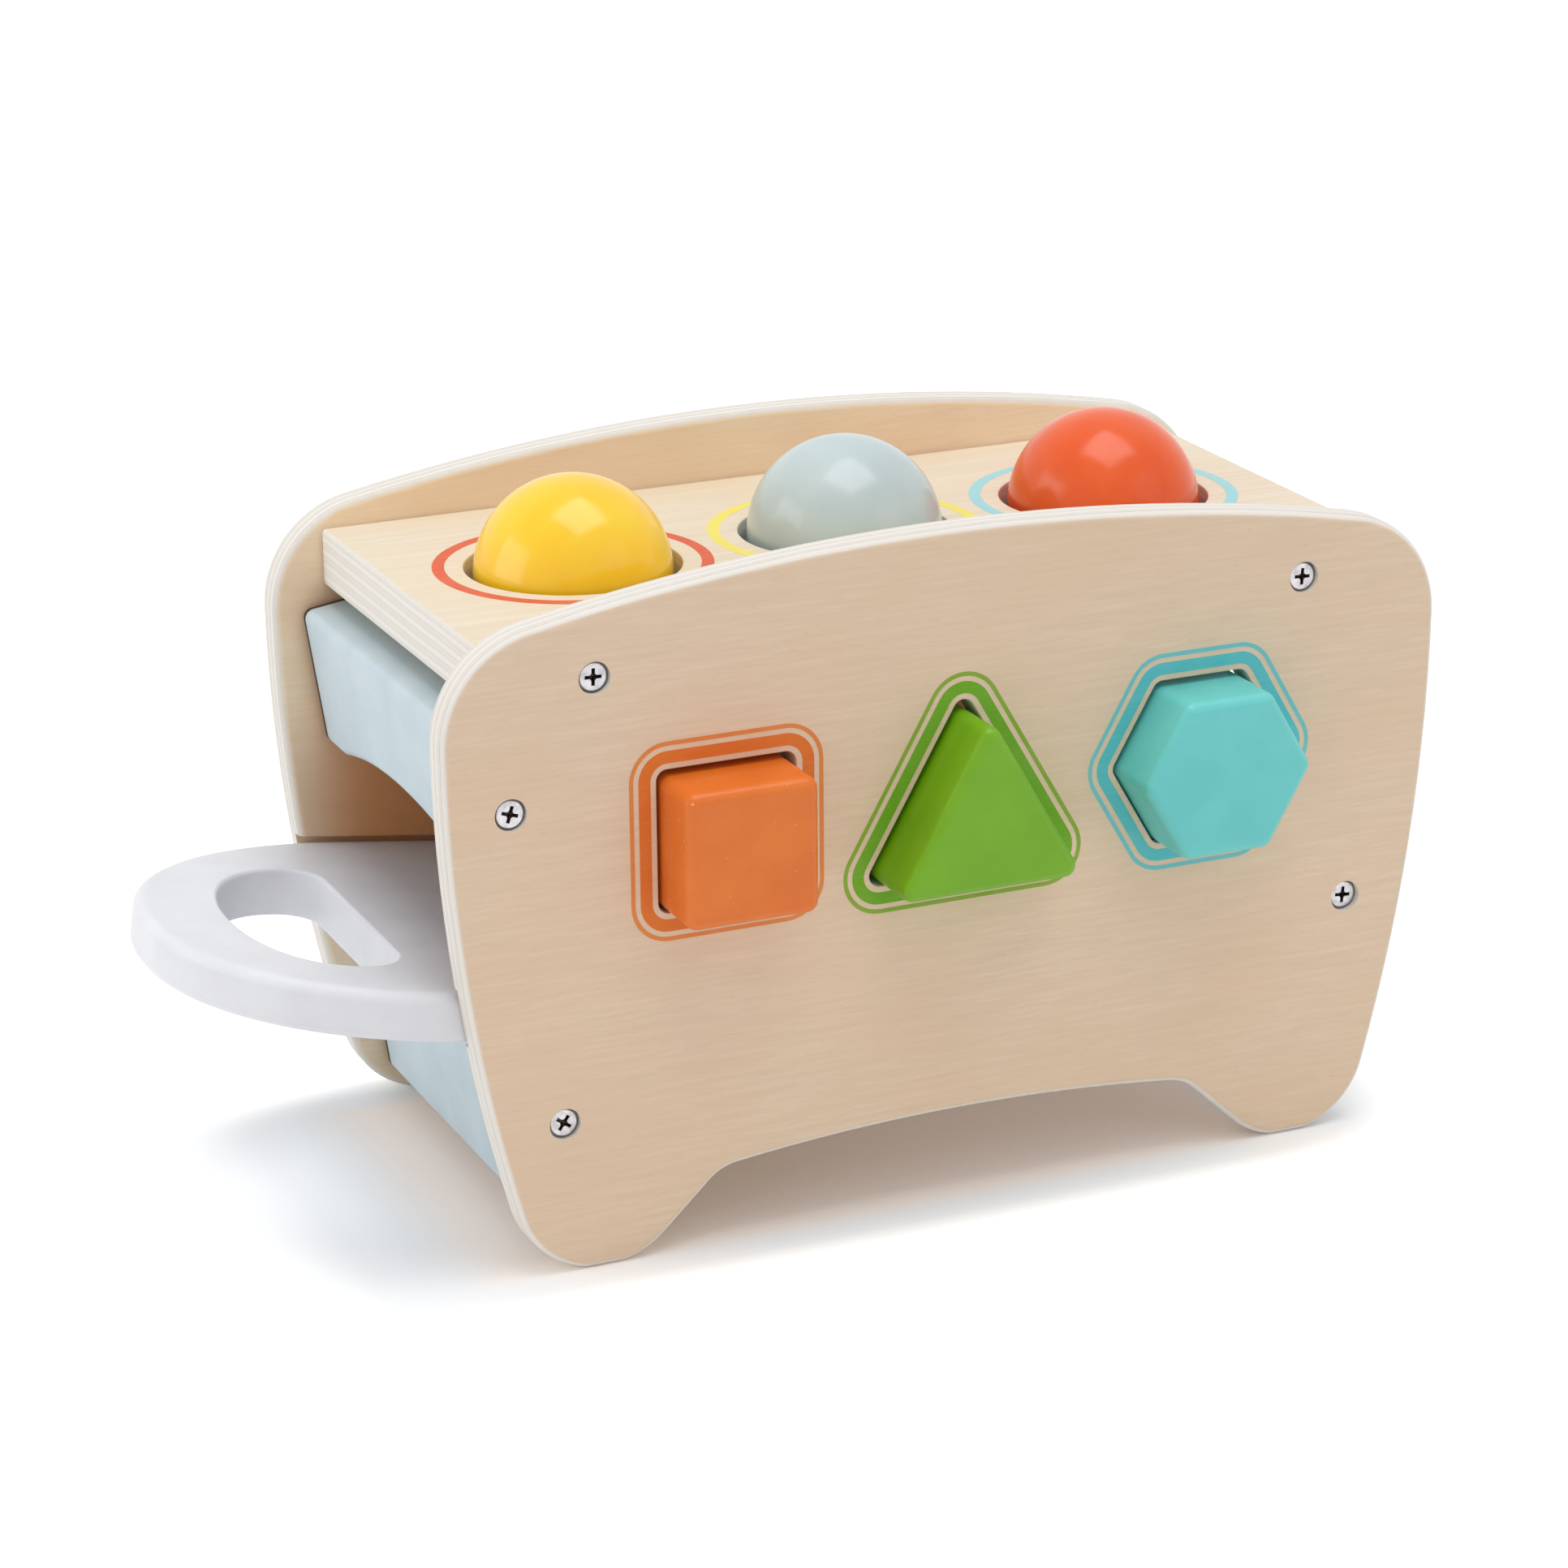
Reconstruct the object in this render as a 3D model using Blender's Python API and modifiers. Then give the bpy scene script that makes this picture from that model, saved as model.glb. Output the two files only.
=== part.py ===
"""Wooden pounding bench with a slide-out xylophone, as separate solid pieces.

Units are metres and +Z is up. The bench stands on z = 0 with its handle towards -X and its
front panel towards -Y. The world origin is on the floor, under the middle of the bounding box.
The pieces hang on bench_axes, an empty that is midway between the two panels and under their
middle, so the places below are measured from there.
"""

from math import asin, atan2, cos, pi, radians, sin, sqrt, tan

import bmesh
import bpy
from mathutils import Matrix, Vector

# Fits shared by all pieces
CLEARANCE = 0.0003
OVERRUN = 0.004
MERGE_DISTANCE = 0.00001

# Side panels
INNER_HALF_DEPTH = 0.058
PANEL_THICKNESS = 0.0095
PANEL_HALF_WIDTH = 0.1343
PANEL_HEIGHT = 0.1759
PANEL_ARRIS = 0.0022
TOP_RADIUS = 0.575
SHOULDER_RADIUS = 0.028
SIDE_RADIUS = 0.455
FOOT_RADIUS = 0.023
FOOT_FLAT_HALF = 0.005
FOOT_FLANK_ANGLE = radians(43)
ARCH_HEIGHT = 0.024
ARCH_RADIUS = 0.520
ARCH_FILLET = 0.012

# Shaped holes in the front panel: the inradius of each, its place across as a share of half the
# panel's width, and its height as a share of the room under the top board
SQUARE_HOLE = 0.0182
SQUARE_ACROSS_SHARE = -0.4631
SQUARE_HEIGHT_SHARE = 0.7493
TRIANGLE_HOLE = 0.0159
TRIANGLE_ACROSS_SHARE = 0.0060
TRIANGLE_HEIGHT_SHARE = 0.7194
HEXAGON_HOLE = 0.0214
HEXAGON_ACROSS_SHARE = 0.4959
HEXAGON_HEIGHT_SHARE = 0.7521
HOLE_CORNER = 0.0028

# Blocks that sit in the shaped holes
BLOCK_PLAY = 0.0010
BLOCK_CORNER = 0.0030
BLOCK_ARRIS = 0.0025
BLOCK_REACH_OUT = 0.0163
BLOCK_REACH_IN = 0.0162

# Top board and the balls in it. The web share is how much of the wood beside the holes, in half
# the board's length, lies between two holes; a ring's lip is a share of that web
TOP_BOARD_INSET = 0.0136
TOP_BOARD_THICKNESS = 0.015
TOP_BOARD_DROP = 0.0173
TOP_BOARD_ARRIS = 0.0012
TOP_SCREW_INSET = 0.0252
BALL_RADIUS = 0.025
BALL_WEB_SHARE = 0.5064
BALL_SINK = 0.0024
MIDDLE_BALL_LIFT = 0.0014
BALL_HOLE_PLAY = 0.0022
RING_THICKNESS = 0.003
RING_LIP_SHARE = 0.192

# End boards, placed by the screw that holds each; an inset is from the side of the panels
END_BOARD_THICKNESS = 0.014
END_BOARD_ARRIS = 0.0025
END_BOARD_LEAN = radians(8.3)
LEFT_UPPER_INSET = 0.0169
LEFT_UPPER_DROP = 0.0233
LEFT_UPPER_DOWN = 0.0182
LEFT_UPPER_UP = 0.0188
EXIT_ARCH_HALF = 0.0425
EXIT_ARCH_RISE = 0.0056
LEFT_LOWER_INSET = 0.0285
LEFT_LOWER_HEIGHT_SHARE = 0.5303
LEFT_LOWER_FLOOR_GAP = 0.0086
LEFT_LOWER_TRAY_GAP = 0.00265
RIGHT_INSET = 0.0239
RIGHT_RISE = 0.02295
RIGHT_DOWN = 0.0200
RIGHT_UP = 0.0220

# Sliding tray: its top face passes through the mark, and distances along it start there
TRAY_MARK_INSET = 0.0053
TRAY_HEIGHT_SHARE = 0.4224
TRAY_SLOPE = radians(8)
TRAY_THICKNESS = 0.0126
TRAY_ARRIS = 0.003
TRAY_END_INSET = 0.0223
TRAY_CORNER = 0.004
GROOVE_DEPTH = 0.0035
GROOVE_HEADROOM = 0.0017
HANDLE_TIP = 0.060
HANDLE_START = 0.012
HANDLE_POWER = 2.2
FINGER_EDGE = 0.005
FINGER_CORNER = 0.009
FINGER_HALF_WIDTH = 0.037
FINGER_DEPTH = 0.0245

# Sound bars and what holds them; the insets along the tray are from its mark and from its end
BAR_COUNT = 8
BAR_START_INSET = 0.0515
BAR_END_INSET = 0.0351
BAR_GAP = 0.0038
BAR_THICKNESS = 0.003
BAR_ARRIS = 0.0006
LONGEST_BAR_ROOM = 0.006
SHORTEST_BAR_ROOM = 0.020
BAR_NODE_SHARE = 0.224
FELT_WIDTH = 0.008
FELT_THICKNESS = 0.003
FELT_OVERHANG = 0.003
PIN_RADIUS = 0.0011
PIN_HEAD_RADIUS = 0.0027
PIN_HEAD_HEIGHT = 0.0014
PIN_DEPTH = 0.008
PIN_PLAY = 0.0004
PIN_SHOULDER_SHARES = (0.7, 0.75)

# Countersunk screws
SCREW_HEAD_RADIUS = 0.0035
SCREW_RADIUS = 0.00175
SCREW_LENGTH = 0.028
SCREW_TIP = 0.004
SCREW_SINK = 0.0006

# How finely the curves are drawn
BALL_SEGMENTS = 24
BALL_RINGS = 14
ROUND_STEPS = 28
SCREW_STEPS = 10
PIN_STEPS = 8
CORNER_STEPS = 3
ARCH_STEPS = 4
FLANK_STEPS = 3
FOOT_STEPS = 6
SIDE_STEPS = 5
SHOULDER_STEPS = 7
TOP_STEPS = 6
HANDLE_STEPS = 20
FINGER_STEPS = 14
EXIT_ARCH_STEPS = 10

# Places that follow from the sizes above
PANEL_Y = INNER_HALF_DEPTH + PANEL_THICKNESS / 2
OUTER_HALF_DEPTH = INNER_HALF_DEPTH + PANEL_THICKNESS
BOARD_WIDTH = 2 * (INNER_HALF_DEPTH - CLEARANCE)
TOP_BOARD_HALF_LENGTH = PANEL_HALF_WIDTH - TOP_BOARD_INSET
TOP_BOARD_TOP = PANEL_HEIGHT - TOP_BOARD_DROP
TOP_BOARD_BOTTOM = TOP_BOARD_TOP - TOP_BOARD_THICKNESS
TOP_BOARD_MIDDLE = TOP_BOARD_TOP - TOP_BOARD_THICKNESS / 2
BALL_HOLE_RADIUS = BALL_RADIUS + BALL_HOLE_PLAY
BALL_WEB = BALL_WEB_SHARE * (TOP_BOARD_HALF_LENGTH - 3 * BALL_HOLE_RADIUS)
BALL_SPACING = 2 * BALL_HOLE_RADIUS + BALL_WEB
BALL_Z = TOP_BOARD_TOP - BALL_SINK
RING_OUTER = BALL_HOLE_RADIUS + RING_LIP_SHARE * BALL_WEB
RING_BOTTOM = TOP_BOARD_BOTTOM + CLEARANCE
RING_TOP = RING_BOTTOM + RING_THICKNESS
TRAY_MARK_X = TRAY_MARK_INSET - PANEL_HALF_WIDTH
TRAY_MARK_Z = TRAY_HEIGHT_SHARE * PANEL_HEIGHT
TRAY_END = (PANEL_HALF_WIDTH - TRAY_END_INSET - TRAY_MARK_X) / cos(TRAY_SLOPE)
TRAY_HALF_WIDTH = INNER_HALF_DEPTH + GROOVE_DEPTH - CLEARANCE
LEFT_UPPER_X = LEFT_UPPER_INSET - PANEL_HALF_WIDTH
LEFT_UPPER_Z = TOP_BOARD_BOTTOM - LEFT_UPPER_DROP
LEFT_LOWER_X = LEFT_LOWER_INSET - PANEL_HALF_WIDTH
LEFT_LOWER_Z = LEFT_LOWER_HEIGHT_SHARE * TRAY_MARK_Z
LEFT_LOWER_DOWN = (LEFT_LOWER_Z - LEFT_LOWER_FLOOR_GAP) / cos(END_BOARD_LEAN)
TRAY_UNDERSIDE_THERE = (
    TRAY_MARK_Z
    - (LEFT_LOWER_X - TRAY_MARK_X) * tan(TRAY_SLOPE)
    - TRAY_THICKNESS / cos(TRAY_SLOPE)
)
LEFT_LOWER_UP = (TRAY_UNDERSIDE_THERE - LEFT_LOWER_TRAY_GAP - LEFT_LOWER_Z) / cos(END_BOARD_LEAN)
RIGHT_X = PANEL_HALF_WIDTH - RIGHT_INSET
RIGHT_Z = TRAY_MARK_Z - (RIGHT_X - TRAY_MARK_X) * tan(TRAY_SLOPE) + RIGHT_RISE
FELT_TOP = CLEARANCE + FELT_THICKNESS
BAR_BOTTOM = FELT_TOP + CLEARANCE
BAR_TOP = BAR_BOTTOM + BAR_THICKNESS
BAR_LAST = TRAY_END - BAR_END_INSET
BAR_PITCH = (BAR_LAST - BAR_START_INSET) / (BAR_COUNT - 1)
BAR_WIDTH = BAR_PITCH - BAR_GAP
LONGEST_BAR = 2 * (INNER_HALF_DEPTH - LONGEST_BAR_ROOM)
SHORTEST_BAR = 2 * (INNER_HALF_DEPTH - SHORTEST_BAR_ROOM)
FRONTMOST = -OUTER_HALF_DEPTH - BLOCK_REACH_OUT
LEFTMOST = (
    TRAY_MARK_X
    - HANDLE_TIP * cos(TRAY_SLOPE)
    - (TRAY_THICKNESS - TRAY_ARRIS) * sin(TRAY_SLOPE)
)

# Colours as seen in the photograph
PLY = "D1B598"
PALE_PLY = "E6D2B0"
PALE_BLUE = "CBDDE2"
TRAY_WHITE = "E8E8EA"
ORANGE = "E07A34"
GREEN = "6DAE34"
TEAL = "74C1C3"
YELLOW = "FFD92E"
GREY_BLUE = "B9C8CC"
RED = "E8551F"
BLACK_RUBBER = "2A2A2A"
GREY_FELT = "8C8C88"
ALUMINIUM = "C9CCD0"
ZINC = "B8BABC"

# Pose shared by outlines drawn in the bench's X and Z
UPRIGHT = (pi / 2, 0, 0)


def new_collection(name):
    """Make a collection in the scene."""
    made = bpy.data.collections.new(name)
    bpy.context.scene.collection.children.link(made)
    return made


def clear_scene():
    """Remove whatever objects the scene holds."""
    for item in list(bpy.data.objects):
        bpy.data.objects.remove(item, do_unlink=True)


def linear_colour(code):
    """Turn a six-digit sRGB colour into the linear values that a shader takes."""
    values = []
    for start in (0, 2, 4):
        share = int(code[start:start + 2], 16) / 255
        values.append(share / 12.92 if share <= 0.04045 else ((share + 0.055) / 1.055) ** 2.4)
    return (*values, 1)


def finish(item, code, roughness, metallic=0):
    """Give a piece its own Principled material."""
    material = bpy.data.materials.new(item.name + "_finish")
    material.use_nodes = True
    shader = material.node_tree.nodes["Principled BSDF"]
    shader.inputs["Base Color"].default_value = linear_colour(code)
    shader.inputs["Roughness"].default_value = roughness
    shader.inputs["Metallic"].default_value = metallic
    item.data.materials.clear()
    item.data.materials.append(material)


def add_empty(name, location, rotation=(0, 0, 0), parent=None):
    """Axes that pieces hang on."""
    axes = bpy.data.objects.new(name, None)
    axes.location = location
    axes.rotation_euler = rotation
    axes.parent = parent
    parts.objects.link(axes)
    return axes


def add_piece(name, mesh, location, rotation=(0, 0, 0), parent=None):
    """A visible piece on its axes."""
    piece = bpy.data.objects.new(name, mesh)
    piece.location = location
    piece.rotation_euler = rotation
    piece.parent = parent
    parts.objects.link(piece)
    mesh.shade_smooth()
    mesh.set_sharp_from_angle(angle=radians(35))
    return piece


def add_cutter(name, mesh, location, rotation=(0, 0, 0), parent=None):
    """A shape that only cuts others."""
    cutter = bpy.data.objects.new(name, mesh)
    cutter.location = location
    cutter.rotation_euler = rotation
    cutter.parent = parent
    cutter.display_type = "WIRE"
    cutter.hide_render = True
    cutters.objects.link(cutter)
    return cutter


def cut(piece, *tools):
    """Cut a piece with each cutter in turn."""
    for tool in tools:
        boolean = piece.modifiers.new(tool.name, "BOOLEAN")
        boolean.operation = "DIFFERENCE"
        boolean.solver = "EXACT"
        boolean.object = tool


def on_circle(centre, radius, angle):
    """The point of a circle at an angle."""
    return (centre[0] + radius * cos(angle), centre[1] + radius * sin(angle))


def arc(centre, radius, start, end, steps):
    """Points along an arc, both ends included."""
    return [on_circle(centre, radius, start + (end - start) * k / steps) for k in range(steps + 1)]


def without_repeats(points):
    """Drop points that lie on the one before them, the last one against the first too."""
    kept = []
    for point in points:
        if not kept or (Vector(point) - Vector(kept[-1])).length > MERGE_DISTANCE:
            kept.append(point)
    if (Vector(kept[0]) - Vector(kept[-1])).length <= MERGE_DISTANCE:
        kept.pop()
    return kept


def rounded_polygon(sides, inradius, first_normal, corner, steps=CORNER_STEPS):
    """A regular polygon with round corners; first_normal is the direction of one side's normal."""
    half = pi / sides
    points = []
    for side in range(sides):
        normal = first_normal + 2 * half * side
        centre = on_circle((0, 0), (inradius - corner) / cos(half), normal + half)
        points += arc(centre, corner, normal, normal + 2 * half, steps)
    return without_repeats(points)


def rounded_rectangle(left, right, bottom, top, corner, steps=CORNER_STEPS):
    """A rectangle with round corners, anticlockwise from its lower left one."""
    centres = (
        (left + corner, bottom + corner),
        (right - corner, bottom + corner),
        (right - corner, top - corner),
        (left + corner, top - corner),
    )
    points = []
    for turn, centre in enumerate(centres):
        start = pi + turn * pi / 2
        points += arc(centre, corner, start, start + pi / 2, steps)
    return points


def oval_end(centre, length, half_width, steps):
    """The left half of a superellipse, from its upper side round the tip to its lower side."""
    points = []
    for step in range(steps + 1):
        angle = pi / 2 - pi * step / steps
        along = abs(cos(angle)) ** (2 / HANDLE_POWER)
        across = abs(sin(angle)) ** (2 / HANDLE_POWER)
        points.append((centre - length * along, half_width * (across if angle > 0 else -across)))
    return points


def plate_mesh(name, outlines, thickness, arris=0, arris_steps=2):
    """A flat outline with any holes, given thickness about its own plane and round arrises."""
    curve = bpy.data.curves.new(name, "CURVE")
    curve.dimensions = "2D"
    curve.fill_mode = "BOTH"
    curve.extrude = thickness / 2 - arris
    curve.bevel_depth = arris
    curve.bevel_resolution = arris_steps - 1
    curve.offset = -arris
    for outline in outlines:
        spline = curve.splines.new("POLY")
        spline.points.add(len(outline) - 1)
        for point, place in zip(spline.points, outline):
            point.co = (*place, 0, 1)
        spline.use_cyclic_u = True
    drawn = bpy.data.objects.new(name, curve)
    cutters.objects.link(drawn)
    graph = bpy.context.evaluated_depsgraph_get()
    mesh = bpy.data.meshes.new_from_object(drawn.evaluated_get(graph))
    mesh.name = name
    bpy.data.objects.remove(drawn, do_unlink=True)
    bpy.data.curves.remove(curve)
    weld(mesh)
    return mesh


def weld(mesh):
    """Merge the loose caps into one closed body whose faces point out."""
    shell = bmesh.new()
    shell.from_mesh(mesh)
    bmesh.ops.remove_doubles(shell, verts=shell.verts, dist=MERGE_DISTANCE)
    bmesh.ops.recalc_face_normals(shell, faces=shell.faces)
    shell.to_mesh(mesh)
    shell.free()


def turned_mesh(name, profile, steps):
    """Turn a profile of (radius, height) points, listed from top to bottom, about Z."""
    line = bpy.data.meshes.new(name + "_profile")
    line.from_pydata(
        [(radius, 0, height) for radius, height in profile],
        [(k, k + 1) for k in range(len(profile) - 1)],
        [],
    )
    blank = bpy.data.objects.new(name, line)
    cutters.objects.link(blank)
    lathe = blank.modifiers.new("lathe", "SCREW")
    lathe.axis = "Z"
    lathe.steps = steps
    lathe.render_steps = steps
    lathe.use_merge_vertices = True
    lathe.merge_threshold = MERGE_DISTANCE
    graph = bpy.context.evaluated_depsgraph_get()
    mesh = bpy.data.meshes.new_from_object(blank.evaluated_get(graph))
    mesh.name = name
    bpy.data.objects.remove(blank, do_unlink=True)
    bpy.data.meshes.remove(line)
    weld(mesh)
    return mesh


def box_mesh(name, size):
    """A box about its own centre."""
    mesh = bpy.data.meshes.new(name)
    shell = bmesh.new()
    bmesh.ops.create_cube(shell, size=1, matrix=Matrix.Diagonal((*size, 1)))
    shell.to_mesh(mesh)
    shell.free()
    return mesh


def rounded_box(name, size, arris, segments, location, rotation=(0, 0, 0), parent=None):
    """A box with a Bevel on all its edges."""
    piece = add_piece(name, box_mesh(name, size), location, rotation, parent)
    bevel = piece.modifiers.new("round arrises", "BEVEL")
    bevel.width = arris
    bevel.segments = segments
    return piece


def repeated_mesh(name, mesh, places):
    """One mesh with a copy of another at each place."""
    group = bmesh.new()
    for place in places:
        start = len(group.verts)
        group.from_mesh(mesh)
        group.verts.ensure_lookup_table()
        bmesh.ops.transform(group, matrix=place, verts=group.verts[start:])
    made = bpy.data.meshes.new(name)
    group.to_mesh(made)
    group.free()
    return made


def panel_half_outline():
    """Right half of a side panel, from the middle of its underside round to the top of its arch."""
    arch_centre = (0, ARCH_HEIGHT - ARCH_RADIUS)
    top_centre = (0, PANEL_HEIGHT - TOP_RADIUS)
    shoulder_x = PANEL_HALF_WIDTH - SHOULDER_RADIUS
    shoulder_reach = TOP_RADIUS - SHOULDER_RADIUS
    shoulder_angle = atan2(sqrt(shoulder_reach ** 2 - shoulder_x ** 2), shoulder_x)
    shoulder = on_circle(top_centre, shoulder_reach, shoulder_angle)
    side_centre = (PANEL_HALF_WIDTH - SIDE_RADIUS, shoulder[1])
    foot_z = sqrt(FOOT_RADIUS ** 2 - FOOT_FLAT_HALF ** 2)
    foot_reach = SIDE_RADIUS - FOOT_RADIUS
    foot_angle = asin((foot_z - side_centre[1]) / foot_reach)
    foot = on_circle(side_centre, foot_reach, foot_angle)
    flat_angle = asin(FOOT_FLAT_HALF / FOOT_RADIUS)
    flank_normal = 3 * pi / 2 - FOOT_FLANK_ANGLE
    fillet = fillet_centre(foot, flank_normal, arch_centre)
    fillet_start = atan2(fillet[1] - arch_centre[1], fillet[0])
    points = arc(arch_centre, ARCH_RADIUS, pi / 2, fillet_start, ARCH_STEPS)
    points += arc(fillet, ARCH_FILLET, fillet_start, flank_normal - pi, FLANK_STEPS)
    points += arc(foot, FOOT_RADIUS, flank_normal, 3 * pi / 2 - flat_angle, FLANK_STEPS)
    points += arc(foot, FOOT_RADIUS, 3 * pi / 2 + flat_angle, 2 * pi + foot_angle, FOOT_STEPS)
    points += arc(side_centre, SIDE_RADIUS, foot_angle, 0, SIDE_STEPS)
    points += arc(shoulder, SHOULDER_RADIUS, 0, shoulder_angle, SHOULDER_STEPS)
    points += arc(top_centre, TOP_RADIUS, shoulder_angle, pi / 2, TOP_STEPS)
    return without_repeats(points)


def fillet_centre(foot, flank_normal, arch_centre):
    """Centre of the fillet that touches the foot's straight flank and the arch above it."""
    normal = Vector((cos(flank_normal), sin(flank_normal)))
    along = Vector((normal.y, -normal.x))
    start = Vector(foot) + normal * (FOOT_RADIUS + ARCH_FILLET) - Vector(arch_centre)
    reach = ARCH_RADIUS - ARCH_FILLET
    middle = start.dot(along)
    travel = -middle + sqrt(middle ** 2 - start.length_squared + reach ** 2)
    return tuple(start + along * travel + Vector(arch_centre))


def panel_outline():
    """Whole side panel, anticlockwise."""
    right = panel_half_outline()
    left = [(-x, z) for x, z in reversed(right)]
    return without_repeats(right + left)


def tray_outline():
    """The tray with its handle, along X from the mark."""
    points = arc(
        (TRAY_END - TRAY_CORNER, TRAY_CORNER - TRAY_HALF_WIDTH), TRAY_CORNER, -pi / 2, 0, CORNER_STEPS
    )
    points += arc(
        (TRAY_END - TRAY_CORNER, TRAY_HALF_WIDTH - TRAY_CORNER), TRAY_CORNER, 0, pi / 2, CORNER_STEPS
    )
    points += oval_end(HANDLE_START, HANDLE_START + HANDLE_TIP, TRAY_HALF_WIDTH, HANDLE_STEPS)
    return without_repeats(points)


def finger_outline():
    """The handle's finger hole, clockwise, as holes in an outline run."""
    centre = -FINGER_EDGE - FINGER_CORNER
    corner_y = FINGER_HALF_WIDTH - FINGER_CORNER
    points = arc((centre, -corner_y), FINGER_CORNER, -pi / 2, 0, CORNER_STEPS)
    points += arc((centre, corner_y), FINGER_CORNER, 0, pi / 2, CORNER_STEPS)
    points += oval_end(centre, FINGER_DEPTH, FINGER_HALF_WIDTH, FINGER_STEPS)
    return list(reversed(without_repeats(points)))


def end_board(name, axes, down, up, code):
    """An end board: a section with round arrises, as long as the bench is deep inside."""
    half = END_BOARD_THICKNESS / 2
    section = rounded_rectangle(-half, half, -down, up, END_BOARD_ARRIS)
    board = add_piece(name, plate_mesh(name, [section], BOARD_WIDTH), (0, 0, 0), UPRIGHT, axes)
    finish(board, code, 0.45)
    return board


def exit_arch_cutter(axes):
    """The shallow arch in the lower edge of the left upper board."""
    radius = (EXIT_ARCH_HALF ** 2 + EXIT_ARCH_RISE ** 2) / (2 * EXIT_ARCH_RISE)
    half_angle = asin(EXIT_ARCH_HALF / radius)
    centre = (0, EXIT_ARCH_RISE - LEFT_UPPER_DOWN - radius)
    outline = arc(centre, radius, pi / 2 - half_angle, pi / 2 + half_angle, EXIT_ARCH_STEPS)
    below = -LEFT_UPPER_DOWN - OVERRUN
    outline += [(-EXIT_ARCH_HALF, below), (EXIT_ARCH_HALF, below)]
    mesh = plate_mesh("exit_arch_cutter", [outline], END_BOARD_THICKNESS + 2 * OVERRUN)
    return add_cutter("exit_arch_cutter", mesh, (0, 0, 0), (pi / 2, 0, pi / 2), axes)


def screw_profile(growth, overhang):
    """A countersunk screw below its head, grown for its hole, with an overhang above the head."""
    head = SCREW_HEAD_RADIUS + growth
    shank = SCREW_RADIUS + growth
    cone = head - shank
    end = -SCREW_LENGTH - growth
    top = [(0, overhang), (head, overhang)] if overhang else [(0, 0)]
    return top + [(head, 0), (shank, -cone), (shank, end + SCREW_TIP), (0, end)]


def screw_spots(side):
    """Where the screws of the front (-1) or the back (1) panel have their heads."""
    top_x = TOP_BOARD_HALF_LENGTH - TOP_SCREW_INSET
    face = side * (OUTER_HALF_DEPTH - SCREW_SINK)
    return (
        ("top_left", (-top_x, face, TOP_BOARD_MIDDLE)),
        ("top_right", (top_x, face, TOP_BOARD_MIDDLE)),
        ("left_upper", (LEFT_UPPER_X, face, LEFT_UPPER_Z)),
        ("left_lower", (LEFT_LOWER_X, face, LEFT_LOWER_Z)),
        ("right", (RIGHT_X, face, RIGHT_Z)),
    )


def make_screws():
    """The screws of both panels, and the cutters for the holes that they go in."""
    screw = turned_mesh("screw", screw_profile(0, 0), SCREW_STEPS)
    hole = turned_mesh("screw_hole", screw_profile(CLEARANCE, OVERRUN), SCREW_STEPS)
    holes = []
    for word, side in (("front", -1), ("back", 1)):
        turn = -side * pi / 2
        spots = screw_spots(side)
        for place, location in spots:
            name = word + "_screw_" + place
            finish(add_piece(name, screw, location, (turn, 0, 0), bench), ZINC, 0.3, 1)
        matrices = [Matrix.Translation(spot) @ Matrix.Rotation(turn, 4, "X") for _, spot in spots]
        name = word + "_screw_holes"
        holes.append(add_cutter(name, repeated_mesh(name, hole, matrices), (0, 0, 0), parent=bench))
    bpy.data.meshes.remove(hole)
    return holes


def groove_cutter():
    """One slab that cuts both panels' grooves for the tray."""
    start = -HANDLE_TIP
    end = TRAY_END + CLEARANCE
    floor = -TRAY_THICKNESS - CLEARANCE
    size = (end - start, 2 * (INNER_HALF_DEPTH + GROOVE_DEPTH), GROOVE_HEADROOM - floor)
    centre = ((start + end) / 2, 0, (GROOVE_HEADROOM + floor) / 2)
    return add_cutter("groove_cutter", box_mesh("groove_cutter", size), centre, parent=tray_axes)


def shapes():
    """Each shape's name, sides, first normal, hole inradius, shares across and up, and colour."""
    return (
        ("square", 4, 0, SQUARE_HOLE, SQUARE_ACROSS_SHARE, SQUARE_HEIGHT_SHARE, ORANGE),
        ("triangle", 3, pi / 6, TRIANGLE_HOLE, TRIANGLE_ACROSS_SHARE, TRIANGLE_HEIGHT_SHARE, GREEN),
        ("hexagon", 6, pi / 6, HEXAGON_HOLE, HEXAGON_ACROSS_SHARE, HEXAGON_HEIGHT_SHARE, TEAL),
    )


def make_panels(screw_holes, groove):
    """The two side panels, the front one with its shaped holes."""
    outline = panel_outline()
    for word, side, holes in (("front", -1, screw_holes[0]), ("back", 1, screw_holes[1])):
        name = word + "_panel"
        mesh = plate_mesh(name, [outline], PANEL_THICKNESS, PANEL_ARRIS)
        panel = add_piece(name, mesh, (0, side * PANEL_Y, 0), UPRIGHT, bench)
        finish(panel, PLY, 0.5)
        cut(panel, groove, holes)
        if side < 0:
            cut(panel, *shape_cutters())


def shape_cutters():
    """Cutters for the three shaped holes."""
    made = []
    for word, sides, normal, inradius, across, up, _ in shapes():
        name = word + "_hole_cutter"
        outline = rounded_polygon(sides, inradius, normal, HOLE_CORNER)
        mesh = plate_mesh(name, [outline], PANEL_THICKNESS + 2 * OVERRUN)
        centre = (across * PANEL_HALF_WIDTH, -PANEL_Y, up * TOP_BOARD_BOTTOM)
        made.append(add_cutter(name, mesh, centre, UPRIGHT, bench))
    return made


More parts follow.
